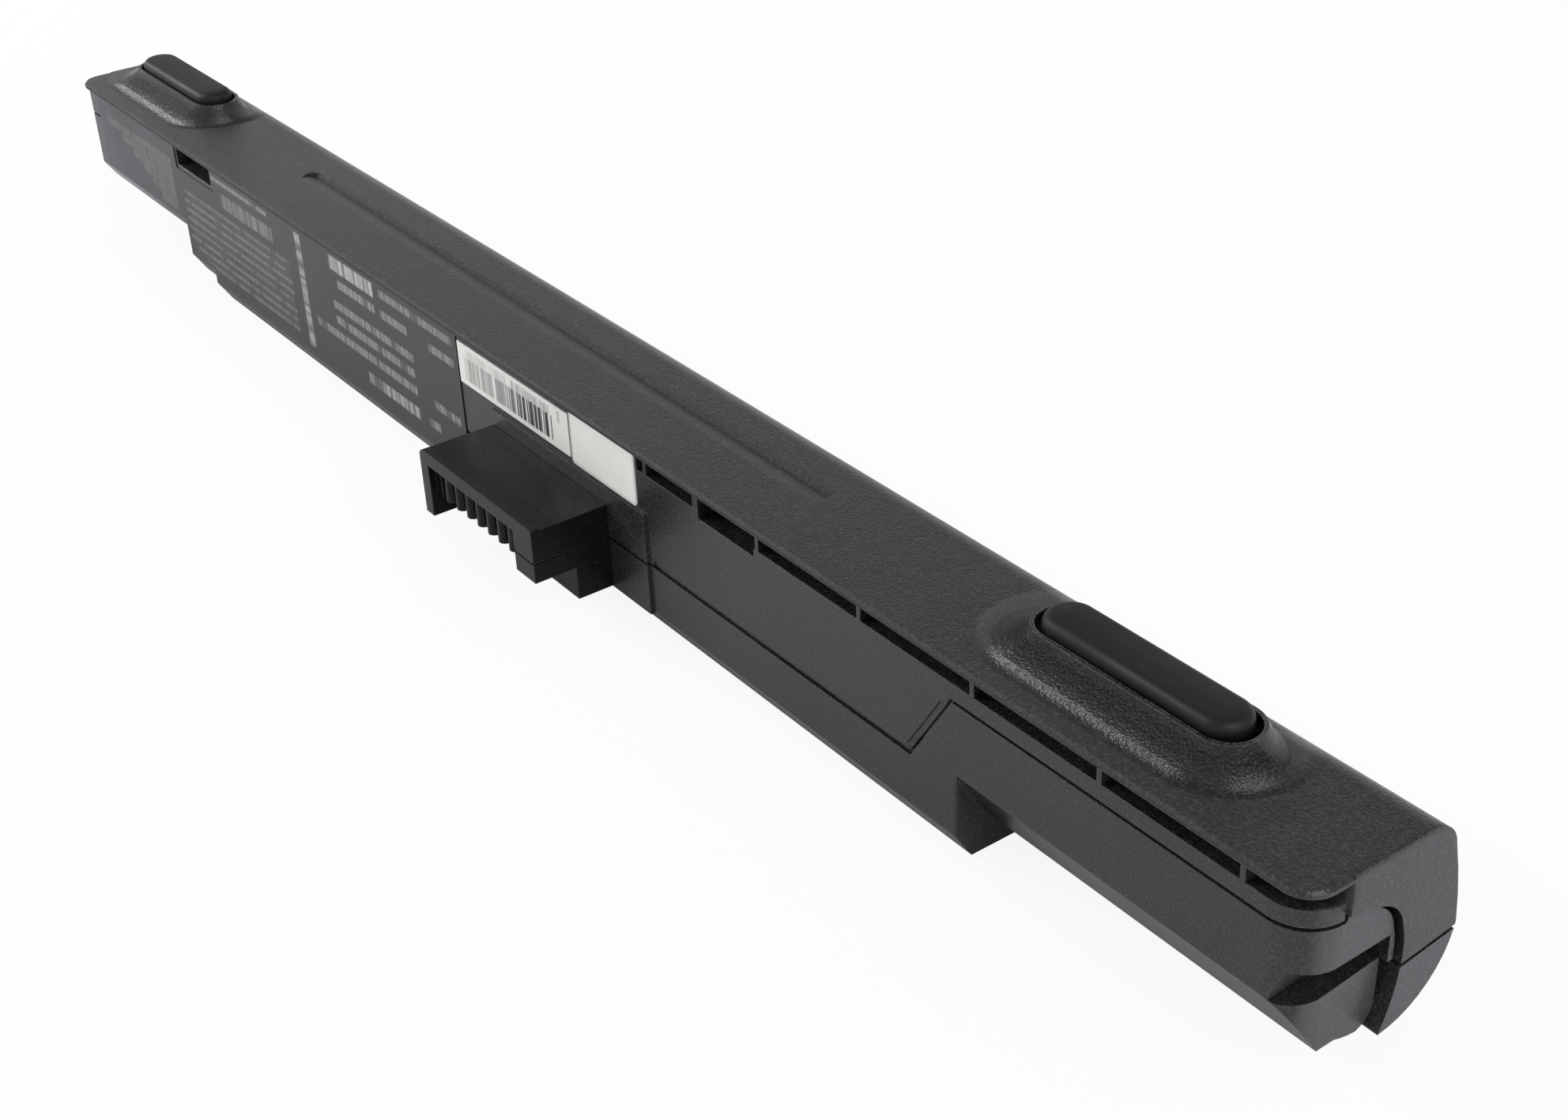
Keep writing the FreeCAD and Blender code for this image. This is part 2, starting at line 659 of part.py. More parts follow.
# Inner ribs of the lower moulding: cradles for the cells and standoffs for the board
inside = case_form(WALL / 2, inner_end_x)
ribs = []
for rib_x in (deep_far_x + CRADLE_INSET, deep_near_x - CRADLE_INSET - CRADLE_THICK):
    rib = block((rib_x, rib_x + CRADLE_THICK), (FRONT_Y, DEEP_BACK_Y), (0.0, BACK_SEAM_Z - CRADLE_DROP))
    ribs.append(rib.common(inside).cut(cell_sleeve))
for share in STANDOFF_SHARES:
    rib_x = board_x[0] + share * board_length
    rib = block(
        (rib_x - STANDOFF_WIDTH / 2, rib_x + STANDOFF_WIDTH / 2),
        (BOARD_Y[0] + STANDOFF_EDGE, BOARD_Y[1] - STANDOFF_EDGE), (0.0, BOARD_Z),
    )
    ribs.append(rib.common(inside))
lower_shell = join([lower_shell] + ribs)
keep("lower_shell", lower_shell)

# Connector: a bar with a front bay of fins, a tall left plate, a two-tier right block and a neck
conn = block(conn_x, (CONN_FRONT_Y, frame_front_y), (CONN_UNDER_Z, CONN_TOP_Z))
left_plate = block(
    (conn_x[0], conn_x[0] + CONN_LEFT_PLATE), (CONN_FRONT_Y, bay_back_y), (CONN_LEFT_FOOT_Z, CONN_TOP_Z),
)
neck = block(conn_x, (neck_front_y, frame_front_y), (NECK_FOOT_Z, CONN_TOP_Z))
conn = join([conn, left_plate, neck])
top_left = [
    edge for edge in conn.Edges
    if edge.BoundBox.XMax < conn_x[0] + 0.01 and edge.BoundBox.ZMin > CONN_TOP_Z - 0.01
]
conn = conn.makeFillet(CONN_LEFT_RADIUS, top_left)
bay_x = (conn_x[0] + CONN_LEFT_PLATE, conn_x[1] - CONN_RIGHT_BLOCK)
bay = block(bay_x, (CONN_FRONT_Y - 1, bay_back_y), (CONN_LEFT_FOOT_Z, bay_top_z))
sunk_top = block(
    (conn_x[0] - 1, conn_x[1] + 1), (CONN_FRONT_Y + CONN_RIM_WIDTH, frame_front_y + 1),
    (CONN_TOP_Z - CONN_RIM_RISE, CONN_TOP_Z + 1),
)
tier_line = block(
    (bay_x[1] - 1, conn_x[1] + 1), (CONN_FRONT_Y - 1, neck_front_y),
    (CONN_TIER_Z - CONN_MARK / 2, CONN_TIER_Z + CONN_MARK / 2),
)
tier_core = block(
    (bay_x[1] - 2, conn_x[1] - CONN_MARK), (CONN_FRONT_Y + CONN_MARK, frame_front_y), (0.0, TOP_Z),
)
conn = conn.cut([bay, sunk_top, tier_line.cut(tier_core)])
fins = []
nose_y = CONN_FRONT_Y + FIN_SETBACK + FIN_WIDTH / 2
for index in range(FIN_COUNT):
    fin_x = conn_x[0] + FIN_INSET + index * FIN_PITCH
    fin_span = (fin_x - FIN_WIDTH / 2, fin_x + FIN_WIDTH / 2)
    fin = block(fin_span, (nose_y, bay_back_y), (FIN_FOOT_Z, bay_top_z))
    nose_foot = FreeCAD.Vector(fin_x, nose_y, FIN_FOOT_Z)
    nose = Part.makeCylinder(FIN_WIDTH / 2, bay_top_z - FIN_FOOT_Z, nose_foot)
    fins.append(fin.fuse(nose))
inner_plate = block(
    (bay_x[0], bay_x[0] + CONN_INNER_PLATE), (CONN_FRONT_Y + CONN_INNER_SETBACK, bay_back_y),
    (CONN_INNER_PLATE_Z, bay_top_z),
)
tail = block(tail_x, (frame_front_y, tail_inner_y), TAIL_Z)
conn = join([conn, inner_plate, tail] + fins)

# Contact blades, bent down to the board behind the front wall
blade_low = FIN_FOOT_Z + BLADE_ROOM
blade_high = bay_top_z - BLADE_ROOM
drop_y = neck_front_y + BLADE_SETBACK
tail_low = TAIL_Z[0] + BLADE_ROOM
foot_y = tail_inner_y + BLADE_ROOM
blade_face = outline(
    along_side,
    (CONN_FRONT_Y + BLADE_SETBACK, blade_low),
    (CONN_FRONT_Y + BLADE_SETBACK, blade_high),
    (bay_back_y - BLADE_SLOPE, blade_high),
    (bay_back_y, blade_low + BLADE_WIDTH),
    (drop_y + BLADE_WIDTH, blade_low + BLADE_WIDTH),
    (drop_y + BLADE_WIDTH, tail_low + BLADE_WIDTH),
    (foot_y + BLADE_WIDTH, tail_low + BLADE_WIDTH),
    (foot_y + BLADE_WIDTH, board_top_z),
    (foot_y, board_top_z),
    (foot_y, tail_low),
    (drop_y, tail_low),
    (drop_y, blade_low),
)
blades = []
blade_slots = []
slot_face = blade_face.makeOffset2D(BLADE_CLEARANCE)
for index in range(FIN_COUNT + 1):
    blade_x = conn_x[0] + FIN_INSET + (index - 0.5) * FIN_PITCH
    half = BLADE_THICK / 2
    blades.append(run_x(blade_face, blade_x - half, blade_x + half))
    half += BLADE_CLEARANCE
    blade_slots.append(run_x(slot_face, blade_x - half, blade_x + half))
keep("connector_housing", conn.cut(blade_slots))
keep("contact_blades", Part.Compound(blades))

# Label with a notch round the far latch pocket, and the two stickers
notch_z = LATCH_BOTTOM_Z - LABEL_NOTCH
label_far_x = -end_x + LABEL_FAR_INSET
label_face = outline(
    along_front,
    (label_far_x, LABEL_TOP_Z),
    (far_latch[0] - LABEL_NOTCH, LABEL_TOP_Z),
    (far_latch[0] - LABEL_NOTCH, notch_z),
    (far_latch[1] + LABEL_NOTCH, notch_z),
    (far_latch[1] + LABEL_NOTCH, LABEL_TOP_Z),
    (LABEL_NEAR_X, LABEL_TOP_Z),
    (LABEL_NEAR_X, LABEL_DEEP_Z),
    (deep_far_x + LABEL_STEP_GAP, LABEL_DEEP_Z),
    (deep_far_x + LABEL_STEP_GAP, LABEL_DEEP_Z + STAGE_Z),
    (stage_far_x + LABEL_STEP_GAP, LABEL_DEEP_Z + STAGE_Z),
    (stage_far_x + LABEL_STEP_GAP, LABEL_THIN_Z),
    (label_far_x, LABEL_THIN_Z),
)
keep("front_label", run_y(label_face, FRONT_Y - LABEL_THICK, FRONT_Y))
keep("code_sticker", block(code_sticker_x, (FRONT_Y - LABEL_THICK, FRONT_Y), CODE_STICKER_Z))
blank_sheet = block(blank_sticker_x, (FRONT_Y - LABEL_THICK, FRONT_Y), BLANK_STICKER_Z)
sheet_corners = [edge for edge in blank_sheet.Edges if edge.BoundBox.YLength > LABEL_THICK / 2]
keep("blank_sticker", blank_sheet.makeFillet(STICKER_CORNER, sheet_corners))

# Cells in one row, with the button end of each towards the near end
cell_face = outline(
    along_front,
    (0.0, 0.0),
    (0.0, CELL_RADIUS - CELL_EDGE),
    (CELL_EDGE, CELL_RADIUS),
    (CELL_LENGTH - CELL_EDGE, CELL_RADIUS),
    (CELL_LENGTH, CELL_RADIUS - CELL_EDGE),
    (CELL_LENGTH, BUTTON_RADIUS),
    (CELL_LENGTH + BUTTON_RISE, BUTTON_RADIUS),
    (CELL_LENGTH + BUTTON_RISE, 0.0),
)
cell = cell_face.revolve(FreeCAD.Vector(0, 0, 0), FreeCAD.Vector(1, 0, 0), 360)
cell_step = CELL_LENGTH + CELL_GAP
for index in range(CELL_COUNT):
    start_x = row_start + index * cell_step
    keep("cell_%d" % (index + 1), cell.translated(FreeCAD.Vector(start_x, 0, CELL_AXIS_Z)))

# Links that fold over between neighbouring cells, each with a tab down to the board, and rings
link_low_z = CELL_AXIS_Z - LINK_HEIGHT / 2
link_high_z = CELL_AXIS_Z + LINK_HEIGHT / 2
ring = Part.makeCylinder(RING_RADIUS, RING_THICK, FreeCAD.Vector(0, 0, 0), FreeCAD.Vector(1, 0, 0))
ring = ring.cut(Part.makeCylinder(RING_HOLE, RING_THICK, FreeCAD.Vector(0, 0, 0), FreeCAD.Vector(1, 0, 0)))
lead_gaps = []
for index in range(CELL_COUNT - 1):
    face_x = row_start + index * cell_step + CELL_LENGTH
    first = (face_x + BUTTON_RISE, face_x + BUTTON_RISE + LINK_THICK)
    second = (face_x + CELL_GAP - LINK_THICK, face_x + CELL_GAP)
    link_face = outline(
        along_front,
        (first[0], link_low_z),
        (first[0], link_high_z),
        (second[1], link_high_z),
        (second[1], link_low_z),
        (second[0], link_low_z),
        (second[0], link_high_z - LINK_THICK),
        (first[1], link_high_z - LINK_THICK),
        (first[1], link_low_z),
    )
    tab = block(second, (-LINK_TAB_WIDTH / 2, LINK_TAB_WIDTH / 2), (board_top_z, link_low_z + LINK_THICK))
    keep("cell_link_%d" % (index + 1), join([run_y(link_face, -LINK_WIDTH / 2, LINK_WIDTH / 2), tab]))
    keep("ring_%d" % (index + 1), ring.translated(FreeCAD.Vector(face_x, 0, CELL_AXIS_Z)))
    lead_gaps.append((first[1] + second[0]) / 2)

# End tabs and foam blocks at both ends of the row
row_end = -row_start + BUTTON_RISE
end_tabs = {"far": (row_start - LINK_THICK, row_start), "near": (row_end, row_end + LINK_THICK)}
pads = {"far": (-inner_end_x, end_tabs["far"][0]), "near": (end_tabs["near"][1], inner_end_x)}
half_pad = END_PAD_SIZE / 2
for side in ("far", "near"):
    tab = block(end_tabs[side], (-LINK_WIDTH / 2, LINK_WIDTH / 2), (link_low_z, link_high_z))
    pad = block(pads[side], (END_PAD_FRONT_Y, half_pad), (CELL_AXIS_Z - half_pad, CELL_AXIS_Z + half_pad))
    keep("end_tab_" + side, tab)
    keep("end_pad_" + side, pad)

# Leads: from each end tab along the top front corner, then down a gap between cells to the board
for side, tab_x, gap_x in (
    ("far", end_tabs["far"][0] - LEAD_RADIUS, lead_gaps[0]),
    ("near", end_tabs["near"][1] + LEAD_RADIUS, lead_gaps[-1]),
):
    route = Part.makePolygon([
        FreeCAD.Vector(tab_x, LEAD_TAB[0], LEAD_TAB[1]),
        FreeCAD.Vector(tab_x, LEAD_TOP[0], LEAD_TOP[1]),
        FreeCAD.Vector(gap_x, LEAD_TOP[0], LEAD_TOP[1]),
        FreeCAD.Vector(gap_x, LEAD_DOWN[0], LEAD_DOWN[1]),
        FreeCAD.Vector(gap_x, LEAD_DOWN[0], board_top_z),
    ])
    first = route.Vertexes[0].Point
    heading = route.Vertexes[1].Point - first
    sheath = Part.Wire(Part.makeCircle(LEAD_RADIUS, first, heading))
    keep("lead_" + side, route.makePipeShell([sheath], True, False, 1))

# Foam pads between the cells and the top wall
ceiling_z = TOP_Z - WALL
for index in range(CELL_COUNT):
    middle_x = row_start + index * cell_step + CELL_LENGTH / 2
    pad = block(
        (middle_x - PAD_LENGTH / 2, middle_x + PAD_LENGTH / 2), (-PAD_WIDTH / 2, PAD_WIDTH / 2),
        (CELL_AXIS_Z + CELL_RADIUS - PAD_OVERLAP, ceiling_z),
    )
    keep("foam_pad_%d" % (index + 1), pad.cut(cell_sleeve))

# Circuit board with its parts
keep("circuit_board", block(board_x, BOARD_Y, (BOARD_Z, board_top_z)))


def board_part(spec, shift=0.0):
    share, y, length, width, height = spec
    x = board_x[0] + share * board_length + shift
    return block(
        (x - length / 2, x + length / 2), (y - width / 2, y + width / 2),
        (board_top_z, board_top_z + height),
    )


keep("control_chip", board_part(CONTROL_CHIP))
keep("gauge_chip", board_part(GAUGE_CHIP))
keep("fuse", board_part(FUSE))
keep("shunt", board_part(SHUNT))
keep("power_switch_1", board_part(POWER_SWITCH))
keep("power_switch_2", board_part(POWER_SWITCH, POWER_SWITCH_STEP))
bead_x = board_x[0] + THERMISTOR_AT[0] * board_length
bead_start = FreeCAD.Vector(bead_x, THERMISTOR_AT[1], board_top_z + THERMISTOR_RADIUS)
bead = Part.makeCylinder(THERMISTOR_RADIUS, THERMISTOR_LENGTH, bead_start, FreeCAD.Vector(1, 0, 0))
keep("thermistor", bead)
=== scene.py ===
import math

import bpy
import numpy as np
from mathutils import Matrix, Vector


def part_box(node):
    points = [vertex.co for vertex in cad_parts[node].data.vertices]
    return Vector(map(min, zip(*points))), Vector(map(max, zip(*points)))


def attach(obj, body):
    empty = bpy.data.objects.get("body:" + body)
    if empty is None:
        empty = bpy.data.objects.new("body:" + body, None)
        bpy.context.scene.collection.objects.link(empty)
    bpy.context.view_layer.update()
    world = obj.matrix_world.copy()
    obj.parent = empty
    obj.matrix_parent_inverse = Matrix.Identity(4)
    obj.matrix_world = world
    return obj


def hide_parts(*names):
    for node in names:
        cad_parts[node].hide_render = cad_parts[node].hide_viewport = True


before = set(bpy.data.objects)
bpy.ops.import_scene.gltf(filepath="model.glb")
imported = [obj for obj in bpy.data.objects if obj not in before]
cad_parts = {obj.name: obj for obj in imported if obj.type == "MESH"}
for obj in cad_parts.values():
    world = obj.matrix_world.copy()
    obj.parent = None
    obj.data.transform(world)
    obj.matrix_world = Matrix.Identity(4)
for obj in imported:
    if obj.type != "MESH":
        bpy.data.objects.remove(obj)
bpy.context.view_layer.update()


# Camera
# The camera stands past the near end, above it and on the label side, and looks back along the
# bar through a normal lens, rolled by two degrees. The shift is only what the framing needs.
MM = 0.001
PICTURE_WIDTH = 1984
FOCAL_LENGTH_IN_PIXELS = 2825.55
SENSOR_WIDTH = 36.0
LENS_SHIFT = (-0.01038, -0.00676)
camera_turn = math.radians(54.317)
camera_rise = math.radians(31.039)
camera_roll = math.radians(-2.1635)
backward = Vector((
    math.sin(camera_turn) * math.cos(camera_rise),
    -math.cos(camera_turn) * math.cos(camera_rise),
    math.sin(camera_rise),
))
level_right = (-backward).cross(Vector((0, 0, 1))).normalized()
level_up = level_right.cross(-backward)
camera_right = level_right * math.cos(camera_roll) + level_up * math.sin(camera_roll)
camera_up = level_up * math.cos(camera_roll) - level_right * math.sin(camera_roll)
camera_place = Vector((248.36, -138.82, 160.10)) * MM

camera = bpy.data.objects.new("camera", bpy.data.cameras.new("camera"))
camera.data.sensor_width = SENSOR_WIDTH
camera.data.lens = SENSOR_WIDTH * FOCAL_LENGTH_IN_PIXELS / PICTURE_WIDTH
camera.data.shift_x, camera.data.shift_y = LENS_SHIFT
camera.data.clip_start = 5 * MM
camera.matrix_world = Matrix((
    (camera_right.x, camera_up.x, backward.x, camera_place.x),
    (camera_right.y, camera_up.y, backward.y, camera_place.y),
    (camera_right.z, camera_up.z, backward.z, camera_place.z),
    (0.0, 0.0, 0.0, 1.0),
))
bpy.context.scene.collection.objects.link(camera)
bpy.context.scene.camera = camera


# Upper moulding
# One injection moulding in charcoal ABS: top, lip, leaning back and the tongue of the front
# face. The outside is spark-textured, the front face under the lip is a finer satin.
def add(tree, kind, inputs=None, **settings):
    """One node; an input is given as a value or as another node's output socket."""
    made = tree.nodes.new(kind)
    for key, value in settings.items():
        setattr(made, key, value)
    for key, value in (inputs or {}).items():
        if isinstance(value, bpy.types.NodeSocket):
            tree.links.new(value, made.inputs[key])
        else:
            made.inputs[key].default_value = value
    return made


def calc(tree, operation, *values, clamp=False):
    """One Math node on values or sockets; gives its output."""
    inputs = dict(enumerate(values))
    return add(tree, "ShaderNodeMath", inputs, operation=operation, use_clamp=clamp).outputs[0]


def spread(tree, value, low, high, to_low=0.0, to_high=1.0):
    """Smooth step of a value from low..high to to_low..to_high."""
    made = add(tree, "ShaderNodeMapRange", {
        "Value": value, "From Min": low, "From Max": high, "To Min": to_low, "To Max": to_high,
    }, interpolation_type="SMOOTHSTEP")
    return made.outputs["Result"]


def band(tree, value, low, high, soft=0.08 * MM):
    """Mask that is 1 where the value lies between low and high, with soft edges."""
    rise = spread(tree, value, low - soft, low + soft)
    fall = spread(tree, value, high - soft, high + soft, 1.0, 0.0)
    return calc(tree, "MULTIPLY", rise, fall)


def blend_colour(tree, share, first, second):
    """Mix of two colours or colour sockets by a share."""
    made = add(tree, "ShaderNodeMix", {"Factor": share}, data_type="RGBA")
    for name, value in (("A_Color", first), ("B_Color", second)):
        socket = next(s for s in made.inputs if s.identifier == name)
        if isinstance(value, bpy.types.NodeSocket):
            tree.links.new(value, socket)
        else:
            socket.default_value = value
    return next(s for s in made.outputs if s.identifier == "Result_Color")


def grey(level, blue=1.0):
    """Linear colour of an sRGB level 0..255, a little cooler where blue is above 1."""
    linear = ((level / 255 + 0.055) / 1.055) ** 2.4 if level > 10 else level / 255 / 12.92
    return (linear, linear * (1 + (blue - 1) * 0.4), linear * blue, 1.0)


def open_group(name, inputs, outputs):
    """Node group with float inputs (name, default) and named outputs (name, socket type)."""
    group = bpy.data.node_groups.new(name, "ShaderNodeTree")
    for label, default in inputs:
        socket = group.interface.new_socket(label, in_out="INPUT", socket_type="NodeSocketFloat")
        socket.default_value = default
    for label, kind in outputs:
        group.interface.new_socket(label, in_out="OUTPUT", socket_type=kind)
    return group, group.nodes.new("NodeGroupInput"), group.nodes.new("NodeGroupOutput")


def spark_texture_group():
    """Spark-eroded mould texture: fine pits over coarser grains, crest flecks that are partly
    painted glints, slow mottle.
    """
    group, given, result = open_group("spark_texture", [("Grains per metre", 2400.0)], [
        ("Height", "NodeSocketFloat"), ("Glint fleck", "NodeSocketFloat"), ("Mottle", "NodeSocketFloat"),
    ])
    place = add(group, "ShaderNodeTexCoord").outputs["Object"]
    density = given.outputs["Grains per metre"]
    fine = add(group, "ShaderNodeTexNoise", {
        "Vector": place, "Scale": density, "Detail": 1.5, "Roughness": 0.6,
    }).outputs["Fac"]
    coarse = add(group, "ShaderNodeTexNoise", {
        "Vector": place, "Scale": calc(group, "MULTIPLY", density, 0.55), "Detail": 1.0,
    }).outputs["Fac"]
    pits = add(group, "ShaderNodeTexVoronoi", {
        "Vector": place, "Scale": calc(group, "MULTIPLY", density, 1.1),
    }, feature="F1").outputs["Distance"]
    height = calc(
        group, "ADD", calc(group, "MULTIPLY", fine, 0.75), calc(group, "MULTIPLY", coarse, 0.10),
    )
    height = calc(group, "ADD", height, calc(group, "MULTIPLY", pits, 0.15))
    group.links.new(height, result.inputs["Height"])
    # Flecks on the grain's crests: partly tone, partly painted glints.
    crest = add(group, "ShaderNodeTexNoise", {
        "Vector": place, "Scale": density, "Detail": 3.0, "Roughness": 0.7,
    }).outputs["Fac"]
    group.links.new(spread(group, crest, 0.44, 0.70), result.inputs["Glint fleck"])
    mottle = add(group, "ShaderNodeTexNoise", {
        "Vector": place, "Scale": 55.0, "Detail": 3.0,
    }).outputs["Fac"]
    group.links.new(spread(group, mottle, 0.35, 0.68), result.inputs["Mottle"])
    return group


def scuffs_group():
    """Hairline handling marks: noise stretched along the bar, cut to a few thin streaks."""
    group, given, result = open_group(
        "handling_scuffs", [("Streaks per metre", 900.0)], [("Mask", "NodeSocketFloat")],
    )
    place = add(group, "ShaderNodeTexCoord").outputs["Object"]
    stretched = add(group, "ShaderNodeMapping", {
        "Vector": place, "Rotation": (0.0, 0.12, 0.4), "Scale": (0.07, 1.0, 1.0),
    }).outputs["Vector"]
    streaks = add(group, "ShaderNodeTexNoise", {
        "Vector": stretched, "Scale": given.outputs["Streaks per metre"], "Detail": 2.0,
    }).outputs["Fac"]
    patches = add(group, "ShaderNodeTexNoise", {
        "Vector": place, "Scale": 40.0, "Detail": 1.0,
    }).outputs["Fac"]
    mask = calc(
        group, "MULTIPLY", spread(group, streaks, 0.64, 0.72), spread(group, patches, 0.5, 0.66),
    )
    group.links.new(mask, result.inputs["Mask"])
    return group


spark_texture = spark_texture_group()
handling_scuffs = scuffs_group()


def shader(tree, **inputs):
    """Principled shader wired to the material output."""
    principled = add(tree, "ShaderNodeBsdfPrincipled", inputs)
    output = add(tree, "ShaderNodeOutputMaterial")
    tree.links.new(principled.outputs["BSDF"], output.inputs["Surface"])
    return principled


def new_material(name):
    """Material with an empty node tree, and that tree."""
    material = bpy.data.materials.new(name)
    material.use_nodes = True
    material.node_tree.nodes.clear()
    return material, material.node_tree


def wear(node, material):
    """The node's mesh wears one material."""
    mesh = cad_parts[node].data
    mesh.materials.clear()
    mesh.materials.append(material)


def outer_edges(tree, reach):
    """1 on outer edges, 0 on faces and in corners: the solid is deep under a face, not an edge."""
    depth = add(tree, "ShaderNodeAmbientOcclusion", {
        "Distance": reach,
    }, samples=4, inside=True, only_local=True)
    return spread(tree, depth.outputs["AO"], 0.88, 0.62)


# The rims are stadiums: a straight spine of this half-length, and a radius round it
RIM_SPINE = 11.8 * MM
RIM_RADIUS = 4.0 * MM
RIM_MIDDLE_Y = 0.6 * MM
FLANK_FALL = 5.8 * MM
FLANK_SPAN = (-1.2 * MM, 6.2 * MM)
rim_middles = [(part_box(node)[0].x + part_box(node)[1].x) / 2 for node in ("foot_far", "foot_near")]


def mound_relief(tree, at):
    """Height that steepens the mounds' flanks under the rim and hollows them towards the flat.

    The distance d from the rim's stadium gives the fall 5.8 mm * (1 - smoothstep(-1.2..6.2 mm, d)),
    faded out round the back, where the flank is short and steep already.
    """
    aside = [
        calc(tree, "ABSOLUTE", calc(tree, "SUBTRACT", at.outputs["X"], x)) for x in rim_middles
    ]
    past = calc(tree, "SUBTRACT", calc(tree, "MINIMUM", *aside), RIM_SPINE)
    past = calc(tree, "MAXIMUM", past, 0.0)
    side = calc(tree, "SUBTRACT", at.outputs["Y"], RIM_MIDDLE_Y)
    squares = [calc(tree, "MULTIPLY", leg, leg) for leg in (past, side)]
    away = calc(tree, "SQRT", calc(tree, "ADD", *squares))
    off_rim = calc(tree, "MAXIMUM", calc(tree, "SUBTRACT", away, RIM_RADIUS), 0.0)
    fall = spread(tree, off_rim, *FLANK_SPAN, FLANK_FALL, 0.0)
    to_back = calc(tree, "DIVIDE", side, calc(tree, "ADD", away, 0.001 * MM))
    return calc(tree, "MULTIPLY", fall, spread(tree, to_back, -0.1, 0.95, 1.0, 0.0))


# Where the case's plastic differs: over its span a mask climbs from 0 to 1, or holds at 1
TOP_SKIN_Z = (26.2 * MM, 26.4 * MM)
CHANNEL_Y = (-4.2 * MM, 2.6 * MM)
CHANNEL_X = (-79.0 * MM, 64.5 * MM)
LIP_Y = (-10.9 * MM, -11.3 * MM)
FRONT_FOOT_Z = (14.0 * MM, 13.0 * MM)
FRONT_FOOT_X = (91.0 * MM, 131.0 * MM)
END_TOP_X = (0.1440, 0.1455)
END_TOP_Z = (23.0 * MM, 24.0 * MM)
END_TOP_Y = (-9.5 * MM, -8.5 * MM)
END_FACE_X = (0.110, 0.120)
TOP_EDGE_Z = (25.6 * MM, 26.2 * MM)
RIM_CREST_Z = (28.8 * MM, 29.1 * MM)
CRISP_RADIUS = 0.12 * MM
ROLLED_RADIUS = 1.15 * MM
EDGE_WEAR_AND_HIGHLIGHT_REACH = 0.24 * MM
GRAIN_DEPTH = 0.11 * MM


